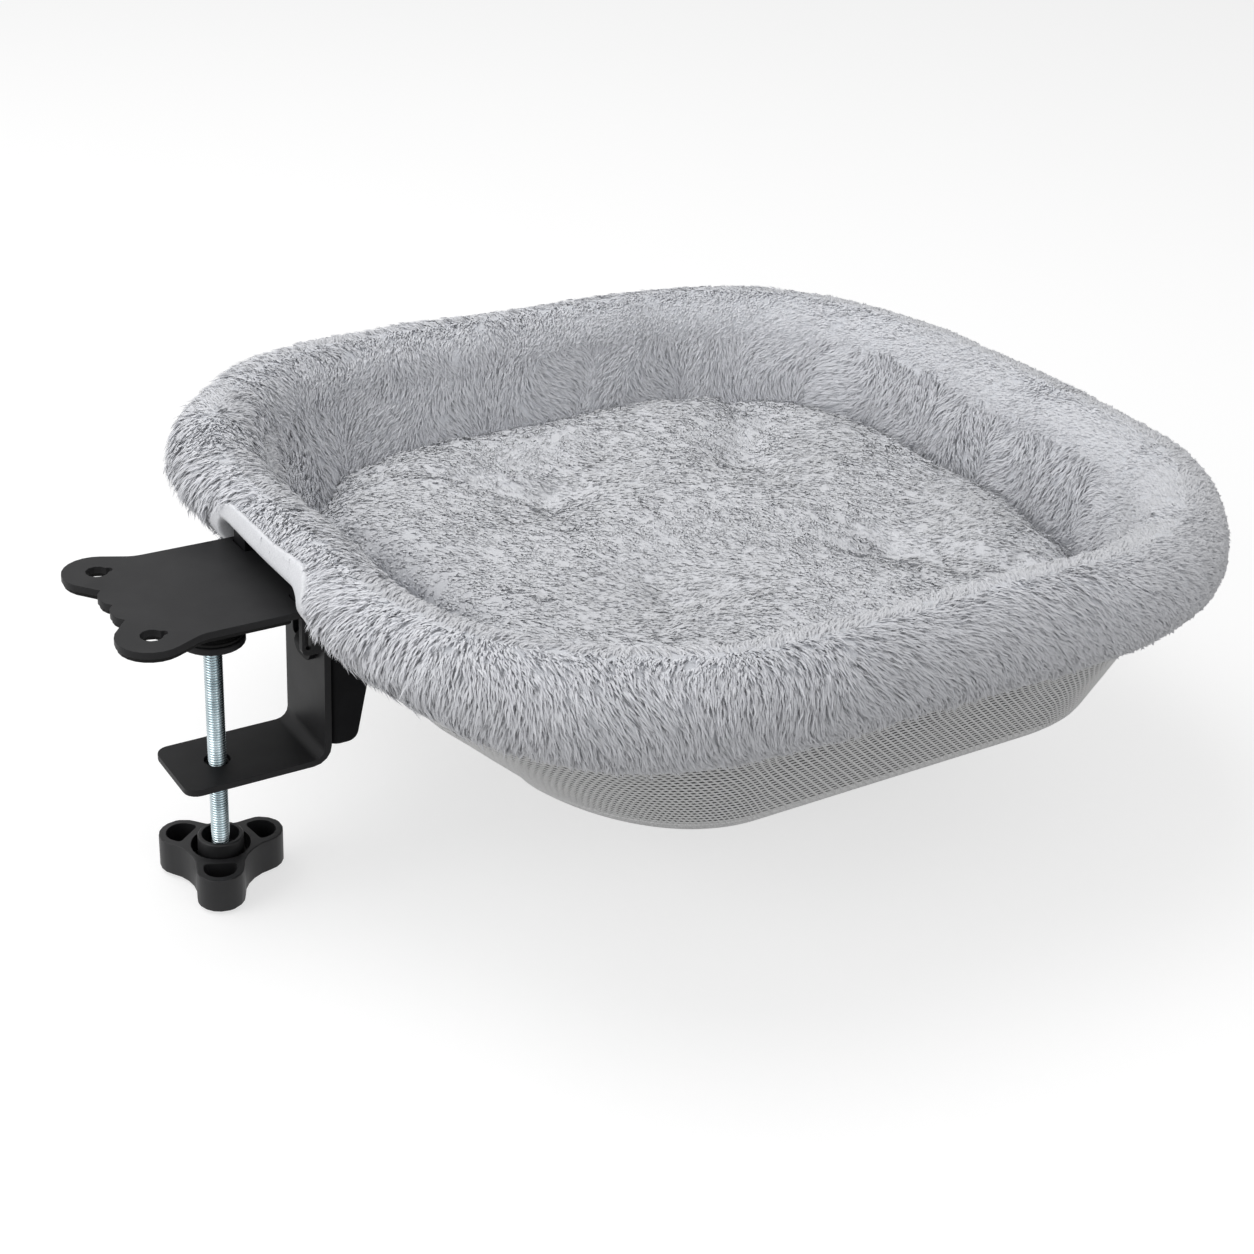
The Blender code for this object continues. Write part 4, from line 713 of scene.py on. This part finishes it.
def make_wall_pile():
    draw = np.random.default_rng(8)
    s = draw.uniform(0, LAP, WALL_TUFTS)
    d = draw.uniform(0.0, 0.56, WALL_TUFTS)
    p = liner_point(s, d)
    n = normals_of(liner_point, s, d)
    out = ring(s)[1]
    level = np.zeros(WALL_TUFTS)
    inward = -np.stack([out[:, 0], out[:, 1], level], -1)
    n = np.where(((n * inward).sum(1) < 0)[:, None], -n, n)
    tangent = np.stack([-out[:, 1], out[:, 0], level], -1)
    flow = np.array([[0, 0, -0.8]]) + tangent * (1.1 * waves(p, 0.045, 41) + 0.3)[:, None]
    fur = pile("wall_pile", p, n, flow, PILE, 42, np.full(WALL_TUFTS, 0.0058),
               np.full(WALL_TUFTS, 20.0), 0.0011, 6, 0.00080,
               0.50 + 0.10 * waves(p, 0.02, 43), np.full(WALL_TUFTS, 0.5))


# Mat
CLOTH_FRAMES, MOST_PUFF = 20, 0.0045
TUFT_REACH, TUFT_RADIUS = 0.085, 0.007
CUSHION_BOTTOM, PILE_BOTTOM = -0.055, -0.05


def puffed(made, held, most):
    """Blow up the cloth of a closed mesh but for its held vertices, by at most the given move."""
    scene = bpy.context.scene
    group = made.vertex_groups.new(name="held")
    group.add(held, 1.0, "REPLACE")
    cloth = made.modifiers.new("cloth", "CLOTH")
    cloth.settings.vertex_group_mass = "held"
    cloth.settings.quality = 5
    cloth.settings.mass = 0.25
    cloth.settings.tension_stiffness = 12
    cloth.settings.compression_stiffness = 12
    cloth.settings.bending_stiffness = 0.2
    cloth.settings.use_pressure = True
    cloth.settings.uniform_pressure_force = 4
    cloth.settings.shrink_min = -0.035
    cloth.settings.effector_weights.gravity = 0
    cloth.point_cache.frame_start = 1
    cloth.point_cache.frame_end = CLOTH_FRAMES
    start = np.array([v.co for v in made.data.vertices])
    for step in range(1, CLOTH_FRAMES + 1):
        scene.frame_set(step)
    graph = bpy.context.evaluated_depsgraph_get()
    shaped = bpy.data.meshes.new_from_object(made.evaluated_get(graph))
    made.modifiers.clear()
    scene.frame_set(1)
    move = np.array([v.co for v in shaped.vertices]) - start
    far = np.linalg.norm(move, axis=1, keepdims=True)
    settled = start + move * np.minimum(1, most / np.maximum(far, 1e-9))
    shaped.vertices.foreach_set("co", settled.astype(np.float32).ravel())
    shaped.update()
    made.data = shaped


def applied(made):
    """The piece's mesh with its modifiers worked in."""
    graph = bpy.context.evaluated_depsgraph_get()
    shaped = bpy.data.meshes.new_from_object(made.evaluated_get(graph))
    made.modifiers.clear()
    made.data = shaped
    return shaped


def make_mat():
    """The mat's cushion, with its cloth blown up between the four tufts."""
    mesh = nodes["plush_mat"].data.copy()
    made = bpy.data.objects.new("mat_cushion", mesh)
    bpy.context.scene.collection.objects.link(made)
    mesh.materials.clear()
    mesh.materials.append(MAT_BASE)
    even = made.modifiers.new("even", "REMESH")
    even.mode = "VOXEL"
    even.voxel_size = 0.0055
    even_mesh = applied(made)
    co = np.array([v.co for v in even_mesh.vertices])
    held = co[:, 2] < CUSHION_BOTTOM
    for turn in np.radians([45, 135, 225, 315]):
        sewn = MIDDLE + TUFT_REACH * np.array([math.cos(turn), math.sin(turn)])
        held |= np.hypot(*(co[:, :2] - sewn).T) < TUFT_RADIUS
    puffed(made, np.flatnonzero(held).tolist(), MOST_PUFF)
    smooth = made.modifiers.new("round", "SUBSURF")
    smooth.levels = smooth.render_levels = 1
    fine = applied(made)
    fine.shade_smooth()
    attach(made, "hammock")
    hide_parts("plush_mat")
    return fine


def make_mat_pile(fine):
    """Short pile on the upper side of the mat's mesh."""
    fine.calc_loop_triangles()
    co = np.array([v.co for v in fine.vertices])
    normal = np.array([v.normal for v in fine.vertices])
    tris = np.array([t.vertices[:] for t in fine.loop_triangles])
    a, b, c = co[tris[:, 0]], co[tris[:, 1]], co[tris[:, 2]]
    area = np.linalg.norm(np.cross(b - a, c - a), axis=1) / 2
    weight = area * ((normal[tris[:, 0], 2] > 0.1) & (a[:, 2] > PILE_BOTTOM))
    draw = np.random.default_rng(53)
    pick = draw.choice(len(tris), MAT_TUFTS, p=weight / weight.sum())
    w = draw.dirichlet([1, 1, 1], MAT_TUFTS)
    p = a[pick] * w[:, :1] + b[pick] * w[:, 1:2] + c[pick] * w[:, 2:]
    n = normal[tris[pick, 0]]
    angle = waves(p, 0.10, 54) * 0.7 - 1.2
    flow = np.stack([np.cos(angle), np.sin(angle), np.zeros(MAT_TUFTS)], -1)
    tone = 0.52 + 0.05 * waves(p, 0.03, 56)
    for i, some in enumerate(np.array_split(np.argsort(p[:, 0]), 2)):
        size = len(some)
        fur = pile(f"mat_pile_{i + 1}", p[some], n[some], flow[some], MAT_PILE, 55 + i,
                   np.full(size, 0.0032), np.full(size, 8.0), 0.0013, 5, 0.00115, tone[some],
                   np.full(size, 0.10))


# Screw
def make_screw():
    low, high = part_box("clamp_screw")
    radius, pitch, depth = 0.004, 0.00125, 0.00072
    head = 0.0030
    steps, sides = 6, 36
    z0, z1 = low.z + 0.0006, high.z - head
    turns = int((z1 - z0) / pitch) + 2
    k = np.arange(turns * steps + 1)
    shape = np.array([0.0, 0.10, 0.55, 1.0, 0.9, 0.45])
    angles = np.arange(sides) / sides * TAU
    kk, aa = np.meshgrid(k, angles, indexing="ij")
    z = z0 - pitch + (kk / steps + aa / TAU) * pitch
    r = radius - depth * shape[kk % steps]
    z = np.clip(z, z0, z1)
    r = np.where((z <= z0) | (z >= z1), radius - depth, r)
    p = np.stack([r * np.cos(aa), r * np.sin(aa), z], -1).reshape(-1, 3)
    faces = grid_faces(len(k), sides)
    # the seam column joins one turn further on
    last = np.arange(len(k) - 1 - steps)
    seam = np.stack([last * sides + sides - 1, (last + steps) * sides, (last + steps + 1) * sides,
                     (last + 1) * sides + sides - 1], -1)
    faces = np.concatenate([faces, seam])
    made = piece("screw_thread", p, faces, ZINC, "spindle")
    made.data.set_sharp_from_angle(angle=math.radians(50))
    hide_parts("clamp_screw")


softened("clamp_bracket", COAT, 0.0004)
softened("knob", PLASTIC, 0.0005)
softened("support_bracket", BRACKET_COAT, 0.0004)
softened("hanger_hook_near", BRACKET_COAT, 0.0003)
softened("hanger_hook_far", BRACKET_COAT, 0.0003)
softened("latch_tongue", BRACKET_COAT, 0.0003)
softened("thread_boss", COAT, 0.0003)
softened("edge_stop_near", COAT, 0.0003)
softened("edge_stop_far", COAT, 0.0003)
softened("pressure_disc", COAT, 0.0003)
for name, look in (
    ("desk_pad", RUBBER), ("pressure_pad", RUBBER), ("foot_retainer", COAT),
    ("knob_nut", ZINC), ("crossbar_tube", TUBE_COAT), ("ring_tube_near", TUBE_COAT),
    ("ring_tube_far", TUBE_COAT), ("spigot_near", ZINC), ("spigot_far", ZINC),
    ("spigot_outer", ZINC), ("joint_screw_near", ZINC), ("joint_screw_far", ZINC),
    ("joint_screw_outer_near", ZINC), ("joint_screw_outer_far", ZINC),
):
    kept(name, look)
make_screw()
make_rim()
make_lip()
make_foam()
make_rim_pile()
make_liner()
make_wall_pile()
make_mat_pile(make_mat())
tray_web = make_web()
tray = make_tray()
welt = make_welt()


# Stage
def seen_directly(tree):
    """1 for rays from the camera or off a glossy surface, else 0."""
    path = tree.nodes.new("ShaderNodeLightPath")
    shown = tree.nodes.new("ShaderNodeMath")
    shown.operation = "MAXIMUM"
    tree.links.new(path.outputs["Is Camera Ray"], shown.inputs[0])
    tree.links.new(path.outputs["Is Glossy Ray"], shown.inputs[1])
    return shown.outputs[0]


FLOOR_HEIGHT, FLOOR_REACH = -0.1395, 6.0
FLOOR_TONE, FLOOR_GLOW = 0.44, 0.645
WORLD_LIGHT = 0.42


def stage_plane():
    made = bpy.data.objects.new("floor", bpy.data.meshes.new("floor"))
    reach, z = FLOOR_REACH, FLOOR_HEIGHT
    made.data.from_pydata([(-reach, -reach, z), (reach, -reach, z), (reach, reach, z),
                           (-reach, reach, z)], [], [(0, 1, 2, 3)])
    look = bpy.data.materials.new("floor_white")
    look.use_nodes = True
    tree = look.node_tree
    tree.nodes.clear()
    out = tree.nodes.new("ShaderNodeOutputMaterial")
    mix = tree.nodes.new("ShaderNodeAddShader")
    white = tree.nodes.new("ShaderNodeEmission")
    flat = tree.nodes.new("ShaderNodeBsdfDiffuse")
    flat.inputs["Color"].default_value = (FLOOR_TONE, FLOOR_TONE, FLOOR_TONE, 1)
    strength = tree.nodes.new("ShaderNodeMath")
    strength.operation = "MULTIPLY"
    strength.inputs[1].default_value = FLOOR_GLOW
    tree.links.new(seen_directly(tree), strength.inputs[0])
    tree.links.new(strength.outputs[0], white.inputs["Strength"])
    tree.links.new(white.outputs[0], mix.inputs[0])
    tree.links.new(flat.outputs[0], mix.inputs[1])
    tree.links.new(mix.outputs[0], out.inputs["Surface"])
    made.data.materials.append(look)
    bpy.context.scene.collection.objects.link(made)


def area_light(name, place, target, size, power):
    lamp = bpy.data.lights.new(name, "AREA")
    lamp.size = size
    lamp.energy = power
    made = bpy.data.objects.new(name, lamp)
    made.location = place
    made.rotation_euler = (Vector(target) - Vector(place)).to_track_quat("-Z", "Y").to_euler()
    bpy.context.scene.collection.objects.link(made)


stage_plane()
area_light("top", (-0.4, 0.5, 1.8), (0.2, 0, 0), 1.5, 19)
area_light("left", (-1.9, 0.0, 0.9), (0.2, 0, 0), 1.5, 17)
area_light("front", (0.6, -2.0, 0.9), (0.2, 0, 0), 1.5, 8)
world = bpy.data.worlds.new("studio")
bpy.context.scene.world = world
world.use_nodes = True
tree = world.node_tree
background = tree.nodes["Background"]
mix = tree.nodes.new("ShaderNodeMix")
mix.data_type = "FLOAT"
tree.links.new(seen_directly(tree), mix.inputs["Factor"])
mix.inputs["A"].default_value = WORLD_LIGHT
mix.inputs["B"].default_value = 1.0
tree.links.new(mix.outputs["Result"], background.inputs["Strength"])
background.inputs["Color"].default_value = (1, 1, 1, 1)
bpy.context.scene.view_settings.view_transform = "Standard"

# Camera at the photograph's view
CAMERA_PLACE = (-0.2752, -0.7151, 0.3894)
azimuth, elevation, roll = math.radians(-34), math.radians(27.7), math.radians(3.6)
forward = Vector((-math.sin(azimuth) * math.cos(elevation),
                  math.cos(azimuth) * math.cos(elevation), -math.sin(elevation)))
level = Vector((math.cos(azimuth), math.sin(azimuth), 0))
above = level.cross(forward)
right = level * math.cos(roll) + above * math.sin(roll)
up = above * math.cos(roll) - level * math.sin(roll)
camera = bpy.data.objects.new("camera", bpy.data.cameras.new("camera"))
camera.data.lens = 58.86
camera.data.sensor_width = 36
camera.data.clip_start = 0.01
camera.matrix_world = Matrix((
    (right.x, up.x, -forward.x, CAMERA_PLACE[0]), (right.y, up.y, -forward.y, CAMERA_PLACE[1]),
    (right.z, up.z, -forward.z, CAMERA_PLACE[2]), (0, 0, 0, 1)))
bpy.context.scene.collection.objects.link(camera)
bpy.context.scene.camera = camera
